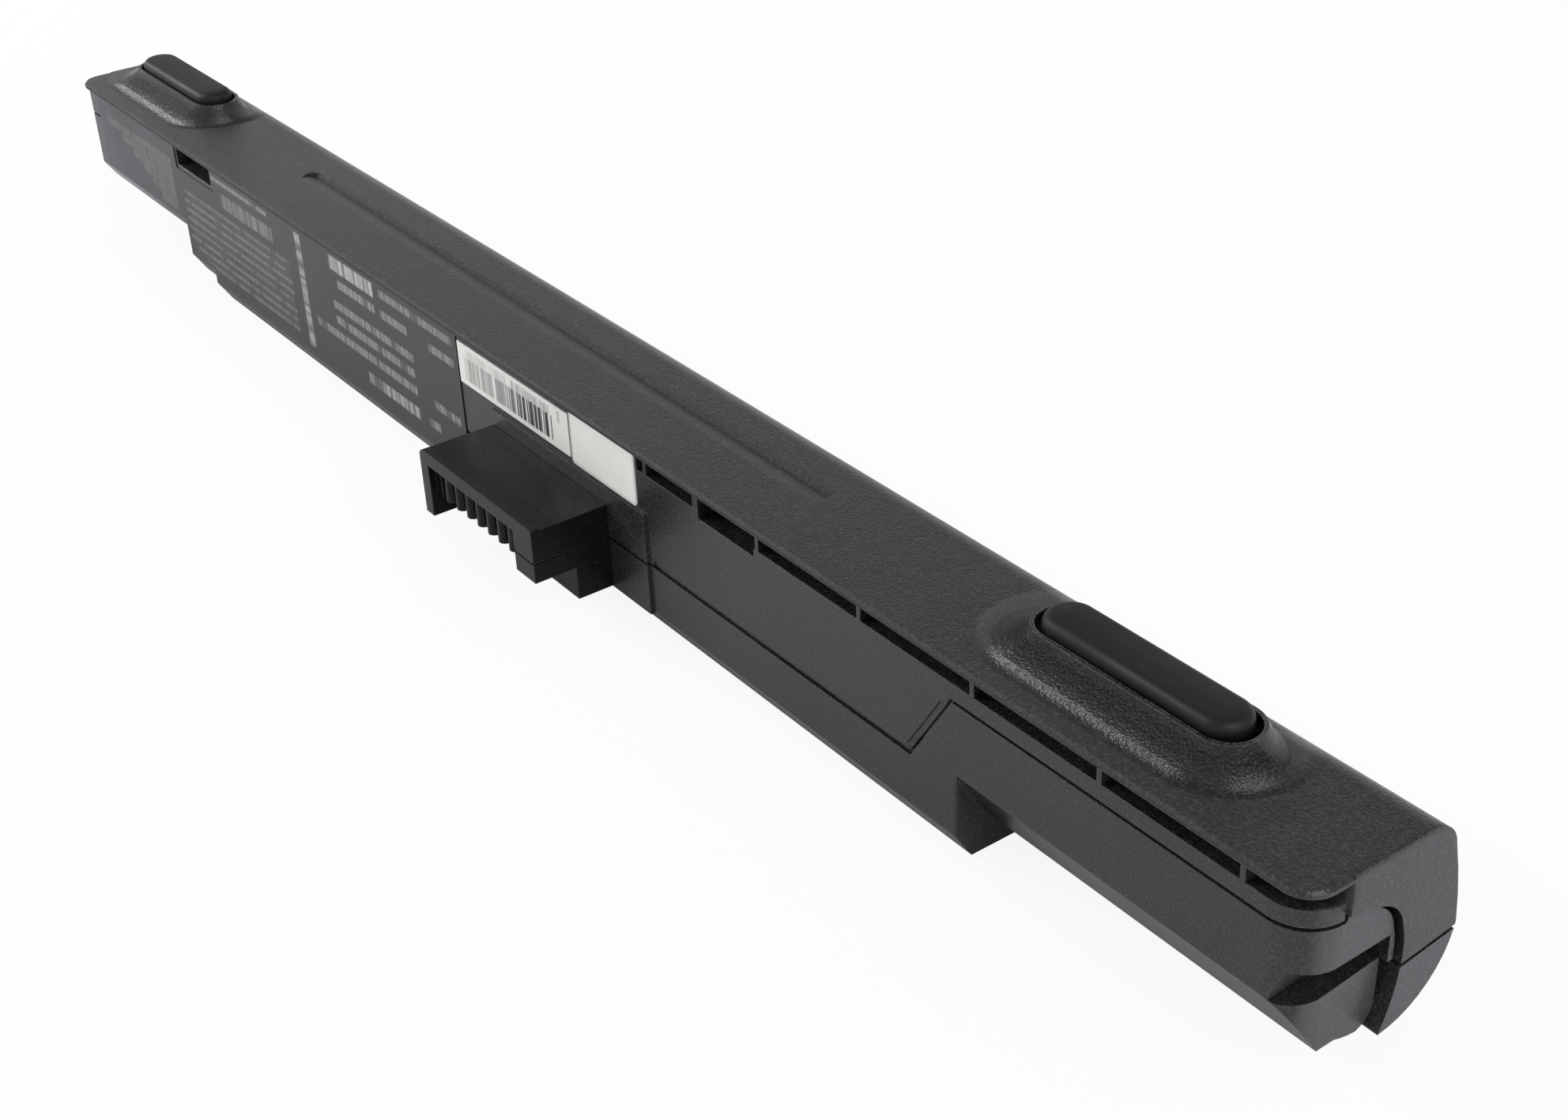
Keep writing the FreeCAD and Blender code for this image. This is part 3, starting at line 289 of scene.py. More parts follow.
def moulded_plastic(name, colour, light_colour, end_face_painted_light, mounds=False):
    """Charcoal moulding: textured, finer on the front face; edges lighter by wear and painted
    highlight, end faces by painted light.
    """
    material, tree = new_material(name)
    place = add(tree, "ShaderNodeTexCoord")
    at = add(tree, "ShaderNodeSeparateXYZ", {"Vector": place.outputs["Object"]})
    facing = add(tree, "ShaderNodeSeparateXYZ", {"Vector": place.outputs["Normal"]})
    x, y, z = at.outputs["X"], at.outputs["Y"], at.outputs["Z"]
    crisp = add(tree, "ShaderNodeBevel", {"Radius": CRISP_RADIUS}, samples=4).outputs["Normal"]
    rolled = add(tree, "ShaderNodeBevel", {"Radius": ROLLED_RADIUS}, samples=4).outputs["Normal"]
    on_top = spread(tree, z, *TOP_SKIN_Z)
    channel = calc(tree, "MULTIPLY", on_top, calc(
        tree, "MULTIPLY", band(tree, y, *CHANNEL_Y, 0.3 * MM), band(tree, x, *CHANNEL_X, 0.3 * MM),
    ))
    sloping = spread(tree, facing.outputs["Z"], 0.985, 0.90)
    lip = calc(tree, "MULTIPLY", on_top, spread(tree, y, *LIP_Y))
    blunt = calc(tree, "MULTIPLY", sloping, calc(tree, "MAXIMUM", channel, lip))
    front_foot = calc(tree, "MULTIPLY", spread(tree, z, *FRONT_FOOT_Z), band(
        tree, x, *FRONT_FOOT_X, 2.0 * MM,
    ))
    end_top = calc(tree, "MULTIPLY", spread(tree, x, *END_TOP_X), calc(
        tree, "MULTIPLY", spread(tree, z, *END_TOP_Z), spread(tree, y, *END_TOP_Y),
    ))
    rolled_share = calc(tree, "MAXIMUM", calc(tree, "MAXIMUM", front_foot, end_top), channel)
    mixed = add(tree, "ShaderNodeMix", {"Factor": rolled_share}, data_type="VECTOR")
    for identifier, normal in (("A_Vector", crisp), ("B_Vector", rolled)):
        tree.links.new(normal, next(s for s in mixed.inputs if s.identifier == identifier))
    rounded = add(tree, "ShaderNodeVectorMath", {
        0: next(s for s in mixed.outputs if s.identifier == "Result_Vector"),
    }, operation="NORMALIZE").outputs["Vector"]
    edge = calc(
        tree, "MULTIPLY", outer_edges(tree, EDGE_WEAR_AND_HIGHLIGHT_REACH), calc(tree, "SUBTRACT", 1.0, channel),
    )
    spark = add(tree, "ShaderNodeGroup", {"Grains per metre": 3000.0}, node_tree=spark_texture)
    scuffs = add(tree, "ShaderNodeGroup", {"Streaks per metre": 1000.0}, node_tree=handling_scuffs)
    # Faces turned to the bar's ends, near the near end only: a smoother satin, and a colour
    # lightened as painted light.
    on_end = calc(tree, "MULTIPLY", spread(tree, facing.outputs["X"], 0.75, 0.95), spread(
        tree, x, *END_FACE_X,
    ))
    satin = calc(tree, "MAXIMUM", spread(tree, facing.outputs["Y"], -0.55, -0.85), on_end)
    # Lighter edges: partly handling wear on the grain's crests, partly painted highlight along the
    # edges.
    crests = spread(tree, spark.outputs["Height"], 0.36, 0.60)
    wear_and_highlight = calc(tree, "MULTIPLY", edge, crests, clamp=True)
    # Painted highlight: the top's edges, and most of all the rims' crests, take the lighter colour
    # as lines of light.
    polish_and_highlight = calc(tree, "ADD", spread(tree, z, *TOP_EDGE_Z, 0.14, 0.34), spread(
        tree, z, *RIM_CREST_Z, 0.0, 0.5,
    ))
    light = calc(tree, "MAXIMUM", calc(tree, "MULTIPLY", wear_and_highlight, polish_and_highlight), calc(
        tree, "MULTIPLY", scuffs.outputs["Mask"], 0.07,
    ))
    # Lighter flecks on the grain's crests: partly tone, partly painted glints.
    light = calc(tree, "MAXIMUM", light, calc(tree, "MULTIPLY", spark.outputs["Glint fleck"], 0.18))
    light = calc(tree, "ADD", light, calc(tree, "MULTIPLY", spark.outputs["Mottle"], 0.03))
    # Painted light: the end faces near the near end take a share of the lighter colour.
    light = calc(tree, "ADD", light, calc(tree, "MULTIPLY", on_end, end_face_painted_light), clamp=True)
    body = blend_colour(tree, light, colour, light_colour)
    dull = calc(tree, "ADD", 0.28, calc(tree, "MULTIPLY", spark.outputs["Mottle"], 0.05))
    dull = calc(tree, "ADD", dull, calc(tree, "MULTIPLY", blunt, 0.34))
    strength = calc(tree, "SUBTRACT", 1.0, calc(tree, "MULTIPLY", satin, 0.5))
    if mounds:
        rounded = add(tree, "ShaderNodeBump", {
            "Strength": 1.0, "Distance": 1.0, "Height": mound_relief(tree, at), "Normal": rounded,
        }).outputs["Normal"]
    bump = add(tree, "ShaderNodeBump", {
        "Strength": strength, "Distance": GRAIN_DEPTH, "Height": spark.outputs["Height"],
        "Normal": rounded,
    })
    principled = shader(tree, **{
        "Base Color": body, "Roughness": dull, "Normal": bump.outputs["Normal"],
    })
    principled.inputs["IOR"].default_value = 1.46
    return material


# The upper moulding's end faces near the near end carry a painted light of a 0.10 share.
case_plastic = moulded_plastic("case_plastic", grey(22, 1.06), grey(118, 1.04), 0.10, mounds=True)
wear("upper_shell", case_plastic)


# Lower moulding
# The trough that carries the cells and the board, in the same charcoal ABS from a second
# cavity. Its front and the blocks at its ends are seen; its flat underside is what it rests on.
# Its end faces near the near end carry more painted light than the upper moulding's.
lower_plastic = moulded_plastic("lower_plastic", grey(23, 1.10), grey(112, 1.06), 0.26)
wear("lower_shell", lower_plastic)


# Rubber feet
# Two moulded pads of black rubber glued into the rims on the top. Sides are straight where
# they sit in the rim, and the crown is a full quarter round with a flat in the middle.
FOOT_DOME = 1.3 * MM
FOOT_CROWN_RISE = 0.12 * MM
FOOT_CROWN_START = 0.3 * MM
FOOT_FLAT_START = 0.35 * MM
FOOT_FLAT_START_FALL = 0.6 * FOOT_CROWN_RISE
FOOT_MIDDLE_RADIUS = 0.05 * MM
FOOT_COLUMNS = 96
FOOT_CROWN_ROWS = 10


def put_mesh(name, points, faces, smooth=True):
    """New object at the origin from a point array and a list of faces."""
    mesh = bpy.data.meshes.new(name)
    mesh.from_pydata(points.reshape(-1, 3).tolist(), [], faces)
    mesh.polygons.foreach_set("use_smooth", [smooth] * len(mesh.polygons))
    mesh.update()
    made = bpy.data.objects.new(name, mesh)
    bpy.context.scene.collection.objects.link(made)
    return made


def ring_faces(rows, columns):
    """Quads between neighbouring rings of a grid whose columns close on themselves."""
    row, column = np.meshgrid(np.arange(rows - 1), np.arange(columns), indexing="ij")
    beside = (column + 1) % columns
    quads = np.stack([
        row * columns + column, row * columns + beside,
        (row + 1) * columns + beside, (row + 1) * columns + column,
    ], axis=-1)
    return quads.reshape(-1, 4).tolist()


def foot_surface(low, high):
    """Rings of a stadium, shrinking over a quarter round.

    The turn t runs once round the stadium: its spine is a straight line of half-length s, and
    each point stands off it by the ring's radius. Up the side the radius is r, then over the
    crown it is r - d(1 - cos a) at height top - d(1 - sin a), with a from 0 to 90 degrees. Two
    last rings carry the flat up by the crown's rise to its middle.
    """
    centre = (np.array(low) + np.array(high)) / 2
    radius = (high[1] - low[1]) / 2
    spine = (high[0] - low[0]) / 2 - radius
    around = np.linspace(0, 2 * np.pi, FOOT_COLUMNS, endpoint=False) + np.pi / FOOT_COLUMNS
    climb = np.linspace(0, np.pi / 2, FOOT_CROWN_ROWS)
    inset = np.concatenate([
        [0.0, 0.0],
        FOOT_DOME * (1 - np.cos(climb)),
        [FOOT_DOME + FOOT_FLAT_START, radius - FOOT_MIDDLE_RADIUS],
    ])
    level = np.concatenate([
        [low[2], high[2] - FOOT_DOME - FOOT_CROWN_START],
        high[2] - FOOT_DOME * (1 - np.sin(climb)) - FOOT_CROWN_RISE,
        [high[2] - FOOT_FLAT_START_FALL, high[2]],
    ])
    reach = radius - inset[:, None]
    x = centre[0] + np.sign(np.cos(around)) * spine + reach * np.cos(around)
    y = centre[1] + reach * np.sin(around)
    z = np.broadcast_to(level[:, None], x.shape)
    return np.stack([x, y, z], axis=-1)


rubber, tree = new_material("foot_rubber")
grain = add(tree, "ShaderNodeGroup", {"Grains per metre": 3600.0}, node_tree=spark_texture)
lint = spread(tree, add(tree, "ShaderNodeTexNoise", {
    "Vector": add(tree, "ShaderNodeTexCoord").outputs["Object"], "Scale": 700.0, "Detail": 4.0,
}).outputs["Fac"], 0.62, 0.80)
rubber_bump = add(tree, "ShaderNodeBump", {
    "Strength": 0.5, "Distance": 0.03 * MM, "Height": grain.outputs["Height"],
})
rubber_shader = shader(tree, **{
    "Base Color": blend_colour(tree, calc(tree, "MULTIPLY", lint, 0.5), grey(14), grey(70)),
    "Roughness": calc(tree, "ADD", 0.48, calc(tree, "MULTIPLY", grain.outputs["Mottle"], 0.14)),
    "Normal": rubber_bump.outputs["Normal"],
})
rubber_shader.inputs["IOR"].default_value = 1.40

for node in ("foot_far", "foot_near"):
    surface = foot_surface(*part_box(node))
    rows, columns = surface.shape[:2]
    caps = [list(range(columns))[::-1], [(rows - 1) * columns + i for i in range(columns)]]
    pad = put_mesh(node + "_rubber", surface, ring_faces(rows, columns) + caps)
    pad.data.materials.append(rubber)
    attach(pad, "root")
    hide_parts(node)


# Connector housing
# Glass-filled black nylon, moulded to a high gloss, with a bay of seven fins at the front.
# It is clipped through the front wall, and its tail stands behind the wall.
def soft_edges(tree, radius):
    """Rounded normal over an edge of the given radius, and a mask that is 1 on the edge."""
    rounded = add(tree, "ShaderNodeBevel", {"Radius": radius}, samples=6).outputs["Normal"]
    flat = add(tree, "ShaderNodeNewGeometry").outputs["Normal"]
    along = add(tree, "ShaderNodeVectorMath", {
        0: rounded, 1: flat,
    }, operation="DOT_PRODUCT").outputs["Value"]
    return rounded, spread(tree, along, 0.995, 0.80)


nylon, tree = new_material("connector_plastic")
rounded, edge = soft_edges(tree, 0.22 * MM)
grain = add(tree, "ShaderNodeGroup", {"Grains per metre": 1500.0}, node_tree=spark_texture)
scuffs = add(tree, "ShaderNodeGroup", {"Streaks per metre": 1600.0}, node_tree=handling_scuffs)
marks = calc(tree, "MAXIMUM", calc(tree, "MULTIPLY", edge, 0.35), calc(
    tree, "MULTIPLY", scuffs.outputs["Mask"], 0.28,
))
nylon_bump = add(tree, "ShaderNodeBump", {
    "Strength": 0.12, "Distance": 0.04 * MM, "Height": grain.outputs["Height"], "Normal": rounded,
})
nylon_shader = shader(tree, **{
    "Base Color": blend_colour(tree, marks, grey(15), grey(72)),
    "Roughness": calc(tree, "ADD", 0.20, calc(tree, "MULTIPLY", grain.outputs["Mottle"], 0.10)),
    "Normal": nylon_bump.outputs["Normal"],
})
nylon_shader.inputs["IOR"].default_value = 1.27
wear("connector_housing", nylon)


# Contact blades
# Eight stamped phosphor-bronze blades with a thin gold flash, pressed into slots between the
# fins and bent down to the board.
blade_metal, tree = new_material("contact_metal")
rounded = soft_edges(tree, 0.1 * MM)[0]
grain = add(tree, "ShaderNodeGroup", {"Grains per metre": 5000.0}, node_tree=spark_texture)
blade_shader = shader(tree, **{
    "Base Color": blend_colour(
        tree, grain.outputs["Mottle"], (0.52, 0.36, 0.12, 1), (0.40, 0.27, 0.10, 1),
    ),
    "Roughness": calc(tree, "ADD", 0.24, calc(tree, "MULTIPLY", grain.outputs["Height"], 0.2)),
    "Normal": rounded,
})
blade_shader.inputs["Metallic"].default_value = 1.0
wear("contact_blades", blade_metal)


# Front label
# One die-cut film with a satin black face, glued along the front. It is printed in pale grey
# with rows of short upright strokes, rows of blocks and pale fields.
ROW_SEED_STEP = 7.3


def axes(tree):
    """Object coordinates, split into X, Y and Z."""
    place = add(tree, "ShaderNodeTexCoord").outputs["Object"]
    return add(tree, "ShaderNodeSeparateXYZ", {"Vector": place}).outputs


def row_group():
    """One row of print: uneven upright strokes in groups, set along Along from Start to End."""
    group, given, result = open_group("print_row", [
        ("Along", 0.0), ("Across", 0.0), ("Start", 0.0), ("End", 0.01), ("Middle", 0.0),
        ("Height", 0.001), ("Strokes per metre", 1700.0), ("Strength", 0.5), ("Seed", 0.0),
    ], [("Ink", "NodeSocketFloat")])
    off_middle = calc(group, "ABSOLUTE", calc(
        group, "SUBTRACT", given.outputs["Across"], given.outputs["Middle"],
    ))
    half_height = calc(group, "MULTIPLY", given.outputs["Height"], 0.5)
    inside = calc(group, "SUBTRACT", half_height, off_middle)
    tall = spread(group, inside, -0.2 * MM, 0.2 * MM)
    from_start = calc(group, "SUBTRACT", given.outputs["Along"], given.outputs["Start"])
    to_end = calc(group, "SUBTRACT", given.outputs["End"], given.outputs["Along"])
    after = spread(group, from_start, 0.0, 0.4 * MM)
    before = spread(group, to_end, 0.0, 0.4 * MM)
    turns = calc(group, "MULTIPLY", given.outputs["Along"], given.outputs["Strokes per metre"])
    strokes = add(group, "ShaderNodeTexNoise", {
        "W": calc(group, "ADD", turns, given.outputs["Seed"]), "Scale": 1.0, "Detail": 1.0,
    }, noise_dimensions="1D").outputs["Fac"]
    groups = add(group, "ShaderNodeTexNoise", {
        "W": calc(group, "ADD", calc(group, "MULTIPLY", turns, 0.18), given.outputs["Seed"]),
        "Scale": 1.0, "Detail": 0.0,
    }, noise_dimensions="1D").outputs["Fac"]
    ink = calc(group, "MULTIPLY", spread(group, strokes, 0.36, 0.60, 0.35, 1.0), spread(
        group, groups, 0.27, 0.37, 0.30, 1.0,
    ))
    ink = calc(group, "MULTIPLY", ink, tall)
    ink = calc(group, "MULTIPLY", ink, calc(group, "MULTIPLY", after, before))
    group.links.new(calc(group, "MULTIPLY", ink, given.outputs["Strength"]), result.inputs["Ink"])
    return group


print_row = row_group()


def print_rows(tree, along, across, rows):
    """Ink of rows: start, end, middle and height in millimetres, strokes per metre, strength."""
    ink = 0.0
    for index, (start, end, middle, height, strokes, strength) in enumerate(rows):
        row = add(tree, "ShaderNodeGroup", {
            "Along": along, "Across": across, "Start": start * MM, "End": end * MM,
            "Middle": middle * MM, "Height": height * MM, "Strokes per metre": strokes,
            "Strength": strength, "Seed": ROW_SEED_STEP * index,
        }, node_tree=print_row)
        ink = calc(tree, "MAXIMUM", ink, row.outputs["Ink"])
    return ink


film, tree = new_material("label_film")
grain = add(tree, "ShaderNodeGroup", {"Grains per metre": 1800.0}, node_tree=spark_texture)
place = axes(tree)
along_x, up_z = place["X"], place["Z"]
LABEL_ROWS = (
    # far end: rows set so close that they look like one pale field
    (-139.5, -111.0, 22.3, 1.5, 2400, 0.17), (-133.5, -111.0, 20.6, 1.5, 2400, 0.16),
    (-129.0, -111.0, 19.0, 1.5, 2400, 0.17), (-125.0, -111.0, 17.4, 1.5, 2400, 0.16),
    (-121.5, -111.0, 15.8, 1.5, 2400, 0.17), (-118.5, -111.0, 14.2, 1.5, 2400, 0.16),
    (-118.5, -111.0, 17.6, 9.0, 2400, 0.12),
    # middle: long faint rows under a short one and a row of blocks
    (-107.5, -65.5, 18.3, 0.7, 1900, 0.26), (-107.5, -67.5, 16.6, 0.7, 1900, 0.32),
    (-107.5, -65.5, 15.0, 0.7, 1900, 0.32), (-107.5, -65.5, 13.3, 0.7, 1900, 0.32),
    (-107.5, -66.5, 11.7, 0.7, 1900, 0.26), (-107.5, -65.5, 10.0, 0.7, 1900, 0.32),
    (-104.5, -65.5, 8.4, 0.7, 1900, 0.32), (-102.0, -65.5, 6.8, 0.7, 1900, 0.30),
    (-106.0, -66.0, 12.5, 11.0, 2400, 0.06),
    (-94.5, -72.0, 24.7, 0.8, 1900, 0.5), (-91.0, -71.0, 21.4, 2.6, 560, 0.34),
    # beside the connector: one heavy row, then lighter ones
    (-50.5, -35.8, 24.0, 2.4, 900, 1.0), (-34.2, -11.6, 24.2, 1.3, 1500, 0.48),
    (-48.5, -36.0, 20.8, 1.4, 1500, 0.60), (-34.5, -25.5, 20.8, 1.4, 1500, 0.50),
    (-19.5, -11.8, 20.8, 1.3, 1500, 0.52), (-50.8, -24.8, 16.8, 1.4, 1500, 0.50),
    (-50.8, -24.8, 14.2, 1.4, 1500, 0.50), (-58.0, -24.8, 11.4, 1.4, 1500, 0.50),
    (-20.0, -11.8, 11.4, 1.3, 1500, 0.52), (-41.5, -24.8, 7.6, 1.9, 1100, 0.72),
    (-22.5, -18.5, 7.6, 1.4, 1500, 0.50),
)
ink = print_rows(tree, along_x, up_z, LABEL_ROWS)
UPRIGHT_ROW = (5.2, 25.3, -61.3, 2.0, 640, 0.66)
ink = calc(tree, "MAXIMUM", ink, print_rows(tree, up_z, along_x, (UPRIGHT_ROW,)))
ink = calc(tree, "MULTIPLY", ink, spread(tree, grain.outputs["Height"], 0.30, 0.55, 0.75, 1.0))
film_colour = blend_colour(tree, grain.outputs["Mottle"], grey(34, 1.05), grey(41, 1.05))
film_bump = add(tree, "ShaderNodeBump", {
    "Strength": 0.15, "Distance": 0.03 * MM, "Height": grain.outputs["Height"],
})
film_shader = shader(tree, **{
    "Base Color": blend_colour(tree, ink, film_colour, grey(176)),
    "Roughness": calc(tree, "ADD", 0.34, calc(tree, "MULTIPLY", grain.outputs["Mottle"], 0.08)),
    "Normal": film_bump.outputs["Normal"],
})
film_shader.inputs["IOR"].default_value = 1.46
wear("front_label", film)


# Code sticker
# White coated paper with a field of upright bars of uneven width, pale at one end and black at
# the other, and a row of small grey dashes over it, stuck on beside the label.
BAR_FIELD_MARGINS = (1.6 * MM, 4.2 * MM)
BAR_FIELD_HEIGHTS = (0.8 * MM, 4.5 * MM)
PALE_TO_BLACK = (9.0 * MM, 19.0 * MM)
code_low, code_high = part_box("code_sticker")
code_paper, tree = new_material("code_paper")
grain = add(tree, "ShaderNodeGroup", {"Grains per metre": 2600.0}, node_tree=spark_texture)
place = axes(tree)
along_x, up_z = place["X"], place["Z"]
code_bars = add(tree, "ShaderNodeTexNoise", {
    "W": calc(tree, "MULTIPLY", along_x, 1000.0), "Scale": 1.0, "Detail": 2.5, "Roughness": 0.9,
}, noise_dimensions="1D").outputs["Fac"]
code_ink = calc(tree, "MULTIPLY", spread(tree, code_bars, 0.42, 0.50), spread(
    tree, along_x, code_low.x + PALE_TO_BLACK[0], code_low.x + PALE_TO_BLACK[1], 0.55, 1.0,
))
code_ink = calc(tree, "MULTIPLY", code_ink, band(
    tree, along_x, code_low.x + BAR_FIELD_MARGINS[0], code_high.x - BAR_FIELD_MARGINS[1],
))
code_ink = calc(tree, "MULTIPLY", code_ink, band(
    tree, up_z, code_low.z + BAR_FIELD_HEIGHTS[0], code_low.z + BAR_FIELD_HEIGHTS[1], 0.15 * MM,
))
small_marks = print_rows(tree, along_x, up_z, (
    (code_low.x / MM + 2.0, code_low.x / MM + 13.5, code_low.z / MM + 5.1, 1.3, 1500, 0.28),
    (code_low.x / MM + 14.5, code_high.x / MM - 4.6, code_low.z / MM + 5.1, 1.3, 1300, 0.45),
    (code_high.x / MM - 2.9, code_high.x / MM - 1.9, code_low.z / MM + 5.0, 1.7, 1500, 0.5),
))
code_ink = calc(tree, "MAXIMUM", code_ink, small_marks)
paper_colour = blend_colour(tree, grain.outputs["Mottle"], grey(230, 0.95), grey(220, 0.94))
shader(tree, **{
    "Base Color": blend_colour(tree, code_ink, paper_colour, grey(40)),
    "Roughness": calc(tree, "ADD", 0.46, calc(tree, "MULTIPLY", grain.outputs["Height"], 0.2)),
    "Normal": add(tree, "ShaderNodeBump", {
        "Strength": 0.2, "Distance": 0.02 * MM, "Height": grain.outputs["Height"],
    }).outputs["Normal"],
})
wear("code_sticker", code_paper)


# Blank sticker
# A second white sticker with round corners, stuck on beside the first: coated paper with a
# faint grain and edges that have begun to grey.
EDGE_GREYING = 0.35 * MM
EDGE_SOFTNESS = 0.3 * MM
blank_low, blank_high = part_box("blank_sticker")
blank_paper, tree = new_material("blank_paper")
grain = add(tree, "ShaderNodeGroup", {"Grains per metre": 2600.0}, node_tree=spark_texture)
place = axes(tree)
middle = calc(tree, "MULTIPLY", band(
    tree, place["X"], blank_low.x + EDGE_GREYING, blank_high.x - EDGE_GREYING, EDGE_SOFTNESS,
), band(
    tree, place["Z"], blank_low.z + EDGE_GREYING, blank_high.z - EDGE_GREYING, EDGE_SOFTNESS,
))
blank_colour = blend_colour(tree, middle, grey(196, 0.95), blend_colour(
    tree, grain.outputs["Mottle"], grey(232, 0.95), grey(222, 0.94),
))
shader(tree, **{
    "Base Color": blank_colour,
    "Roughness": calc(tree, "ADD", 0.44, calc(tree, "MULTIPLY", grain.outputs["Height"], 0.2)),
    "Normal": add(tree, "ShaderNodeBump", {
        "Strength": 0.2, "Distance": 0.02 * MM, "Height": grain.outputs["Height"],
    }).outputs["Normal"],
})
wear("blank_sticker", blank_paper)


# Cells
# Four steel cans in shrunk PVC wrap. They lie end to end and can't be seen with the case
# closed, so they and the other hidden pieces share one plain kind of finish.
def plain_finish(name, colour, second, roughness, metallic=0.0, grains=1500.0, bump=0.02):
    """Finish of a hidden piece: two tones mottled together, fine grain, softened edges."""
    material, tree = new_material(name)
    rounded, edge = soft_edges(tree, 0.1 * MM)
    grain = add(tree, "ShaderNodeGroup", {"Grains per metre": grains}, node_tree=spark_texture)
    tone = calc(tree, "MAXIMUM", grain.outputs["Mottle"], edge)
    height = grain.outputs["Height"]
    principled = shader(tree, **{
        "Base Color": blend_colour(tree, tone, colour, second),
        "Roughness": calc(tree, "ADD", roughness, calc(tree, "MULTIPLY", height, 0.15)),
        "Normal": add(tree, "ShaderNodeBump", {
            "Strength": 0.3, "Distance": bump * MM, "Height": height, "Normal": rounded,
        }).outputs["Normal"],
    })
    principled.inputs["Metallic"].default_value = metallic
    return material


cell_wrap = plain_finish(
    "cell_wrap", (0.05, 0.16, 0.30, 1), (0.08, 0.22, 0.38, 1), 0.32, grains=900.0,
)
for node in ("cell_1", "cell_2", "cell_3", "cell_4"):
    wear(node, cell_wrap)


# Links, tabs and rings
# Pure nickel strip, spot-welded to the cans and folded over between neighbours, with a grey
# fibre ring in each of the three gaps to keep the fold off the can's shoulder.
nickel = plain_finish(
    "nickel_strip", (0.62, 0.60, 0.56, 1), (0.48, 0.46, 0.43, 1), 0.30, 1.0, 3200.0,
)
for node in ("cell_link_1", "cell_link_2", "cell_link_3", "end_tab_far", "end_tab_near"):
    wear(node, nickel)
fibre = plain_finish("fibre_ring", grey(176), grey(150), 0.85, grains=2000.0, bump=0.06)
for node in ("ring_1", "ring_2", "ring_3"):
    wear(node, fibre)


# Foam
# Closed-cell foam, cut to blocks and laid between the cells and the case, over the row and at
# both its ends, so that nothing rattles.
foam = plain_finish("foam", grey(58), grey(44), 0.88, grains=1100.0, bump=0.2)
for node in ("foam_pad_1", "foam_pad_2", "foam_pad_3", "foam_pad_4", "end_pad_far", "end_pad_near"):
    wear(node, foam)


# Leads
# Two insulated copper wires in a soft dark red sheath, soldered to the end tabs and to the
# board.
sheath = plain_finish(
    "lead_sheath", (0.30, 0.015, 0.012, 1), (0.22, 0.012, 0.010, 1), 0.40, grains=1800.0,
)
for node in ("lead_far", "lead_near"):
    wear(node, sheath)


# Circuit board and its parts
# Green glass-epoxy laminate with the gauge, the control chip, two power switches, a fuse, a
# current shunt and a thermistor bead soldered to its upper face.
laminate = plain_finish(
    "board_laminate", (0.010, 0.095, 0.045, 1), (0.016, 0.125, 0.060, 1), 0.36, grains=1300.0,
)
wear("circuit_board", laminate)
resin = plain_finish("chip_resin", grey(38), grey(30), 0.55, grains=2600.0)
for node in (
    "control_chip", "gauge_chip", "power_switch_1", "power_switch_2", "fuse", "thermistor",
):
    wear(node, resin)
shunt_metal = plain_finish(
    "shunt_metal", (0.50, 0.42, 0.36, 1), (0.40, 0.33, 0.28, 1), 0.38, 1.0, 2400.0,
)
wear("shunt", shunt_metal)


# Floor, lights and world
# A pale flat floor, white to the camera. In reflections it glows a cooler white, dimmed as a painted
# shadow where the bar closes over it. A long strip past the far end, on the label side, and a square
# soft box past the near end light it.
FLOOR_REACH = 4.0
OPEN_REACH = 60 * MM
WHITE_TO_CAMERA = 0.9
WHITE_IN_MIRRORS = 0.82
floor = put_mesh("floor", np.array([
    [-FLOOR_REACH, -FLOOR_REACH, 0.0], [FLOOR_REACH, -FLOOR_REACH, 0.0],
    [FLOOR_REACH, FLOOR_REACH, 0.0], [-FLOOR_REACH, FLOOR_REACH, 0.0],
]), [[0, 1, 2, 3]], smooth=False)
floor_paint, tree = new_material("floor_paint")
path = add(tree, "ShaderNodeLightPath")
mirrored = calc(tree, "MAXIMUM", path.outputs["Is Glossy Ray"], path.outputs["Is Transmission Ray"])
# Painted shadow: the floor's glow in reflections fades where the bar closes over the floor.
openness = add(tree, "ShaderNodeAmbientOcclusion", {"Distance": OPEN_REACH}, samples=8).outputs["AO"]
painted = add(tree, "ShaderNodeBsdfDiffuse", {"Color": grey(246)})
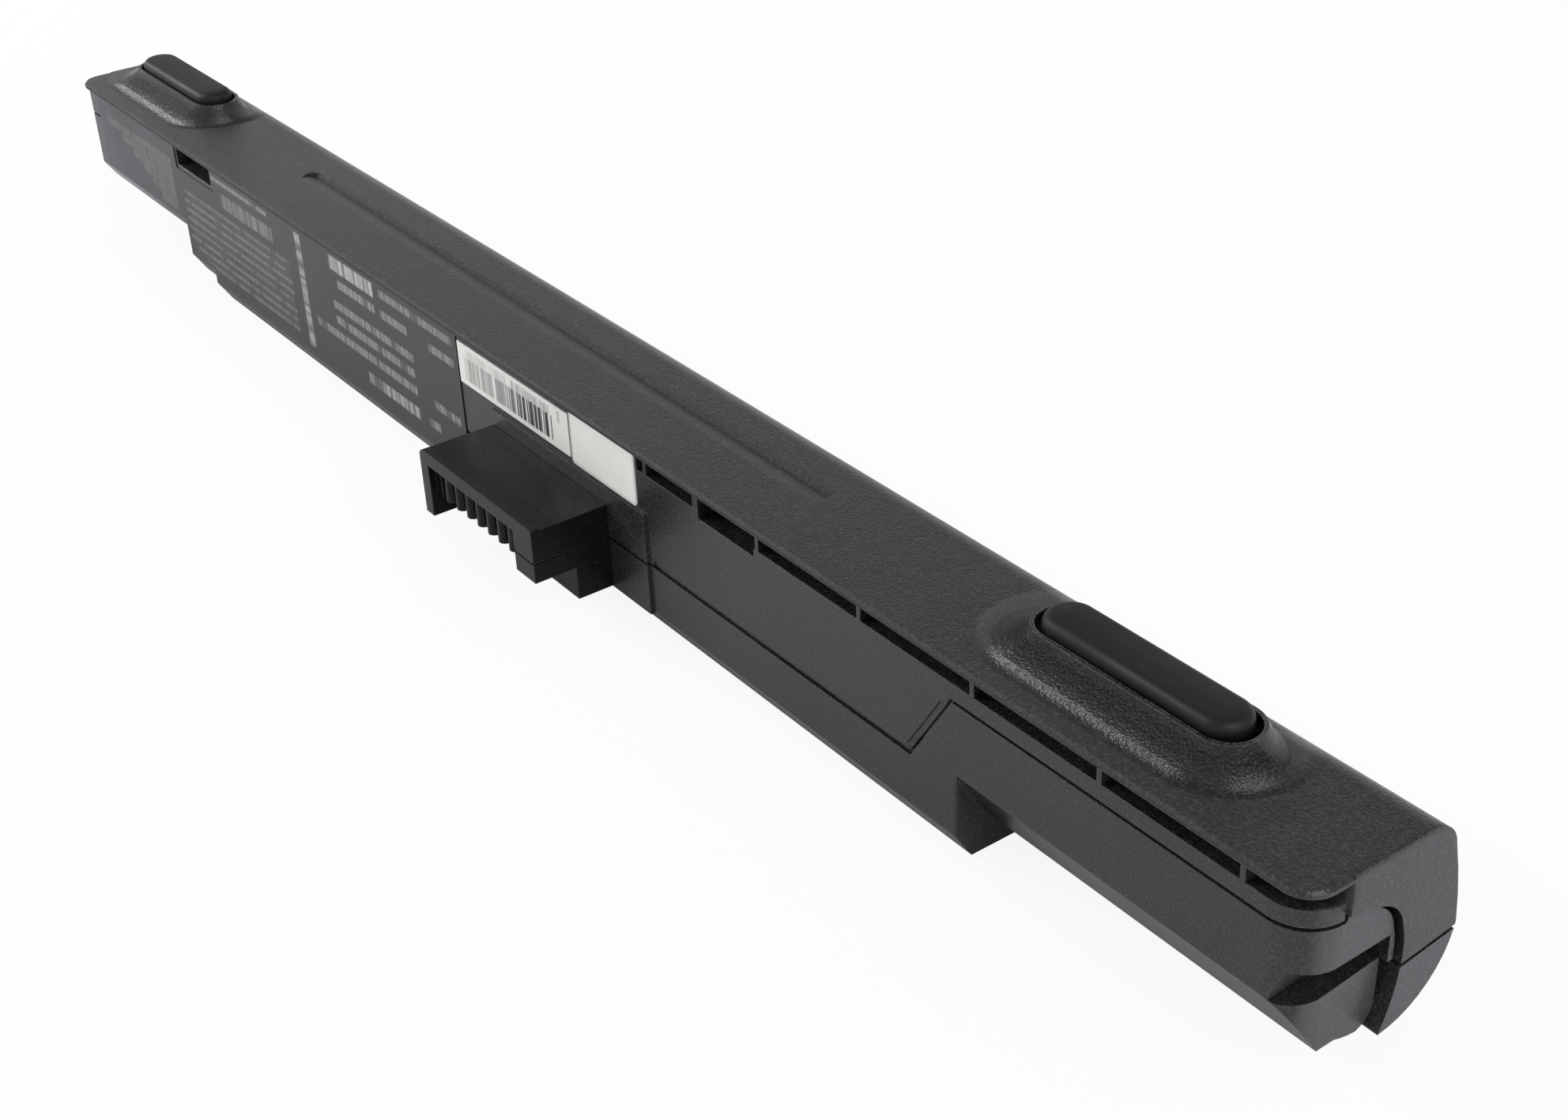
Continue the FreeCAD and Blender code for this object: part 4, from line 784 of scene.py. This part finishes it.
white = add(tree, "ShaderNodeEmission", {
    "Color": blend_colour(
        tree, path.outputs["Is Camera Ray"], (0.95, 0.99, 1.05, 1.0), (1.0, 1.0, 1.0, 1.0),
    ),
    "Strength": calc(tree, "MAXIMUM", path.outputs["Is Camera Ray"], openness),
})
white_share = calc(tree, "MAXIMUM", calc(
    tree, "MULTIPLY", path.outputs["Is Camera Ray"], WHITE_TO_CAMERA,
), calc(tree, "MULTIPLY", mirrored, WHITE_IN_MIRRORS))
paint = add(tree, "ShaderNodeMixShader", {
    0: white_share, 1: painted.outputs["BSDF"], 2: white.outputs["Emission"],
})
tree.links.new(paint.outputs["Shader"], add(tree, "ShaderNodeOutputMaterial").inputs["Surface"])
floor.data.materials.append(floor_paint)


def soft_box(name, place, aim, size, power):
    """Rectangular soft box at a place, turned to its aim."""
    lamp = bpy.data.lights.new(name, "AREA")
    lamp.shape = "RECTANGLE"
    lamp.size, lamp.size_y = size
    lamp.energy = power
    made = bpy.data.objects.new(name, lamp)
    toward = (Vector(aim) - Vector(place)).normalized()
    turned = toward.to_track_quat("-Z", "Y").to_matrix().to_4x4()
    made.matrix_world = Matrix.Translation(Vector(place)) @ turned
    bpy.context.scene.collection.objects.link(made)


soft_box("strip", (-1.1, -0.55, 0.575), (-1.1, 0.0, 0.03), (1.5, 0.16), 12.0)
soft_box("end", (1.0, -0.1, 0.8), (0.05, 0.0, 0.0), (0.8, 0.8), 7.0)

world = bpy.data.worlds.new("room")
world.use_nodes = True
tree = world.node_tree
tree.nodes.clear()
direction = add(tree, "ShaderNodeTexCoord").outputs["Generated"]
upward = add(tree, "ShaderNodeSeparateXYZ", {"Vector": direction}).outputs["Z"]
wall_light = spread(tree, upward, 0.30, 0.56, 0.66, 0.56)
dark_overhead = spread(tree, upward, 0.60, 0.85, 0.0, 0.28)
room_light = add(tree, "ShaderNodeBackground", {
    "Color": (1.0, 1.0, 1.0, 1.0),
    "Strength": calc(tree, "SUBTRACT", wall_light, dark_overhead),
})
output = add(tree, "ShaderNodeOutputWorld")
tree.links.new(room_light.outputs["Background"], output.inputs["Surface"])
bpy.context.scene.world = world
bpy.context.scene.view_settings.view_transform = "Standard"


# Update
# The view layer is brought up to date.
bpy.context.view_layer.update()
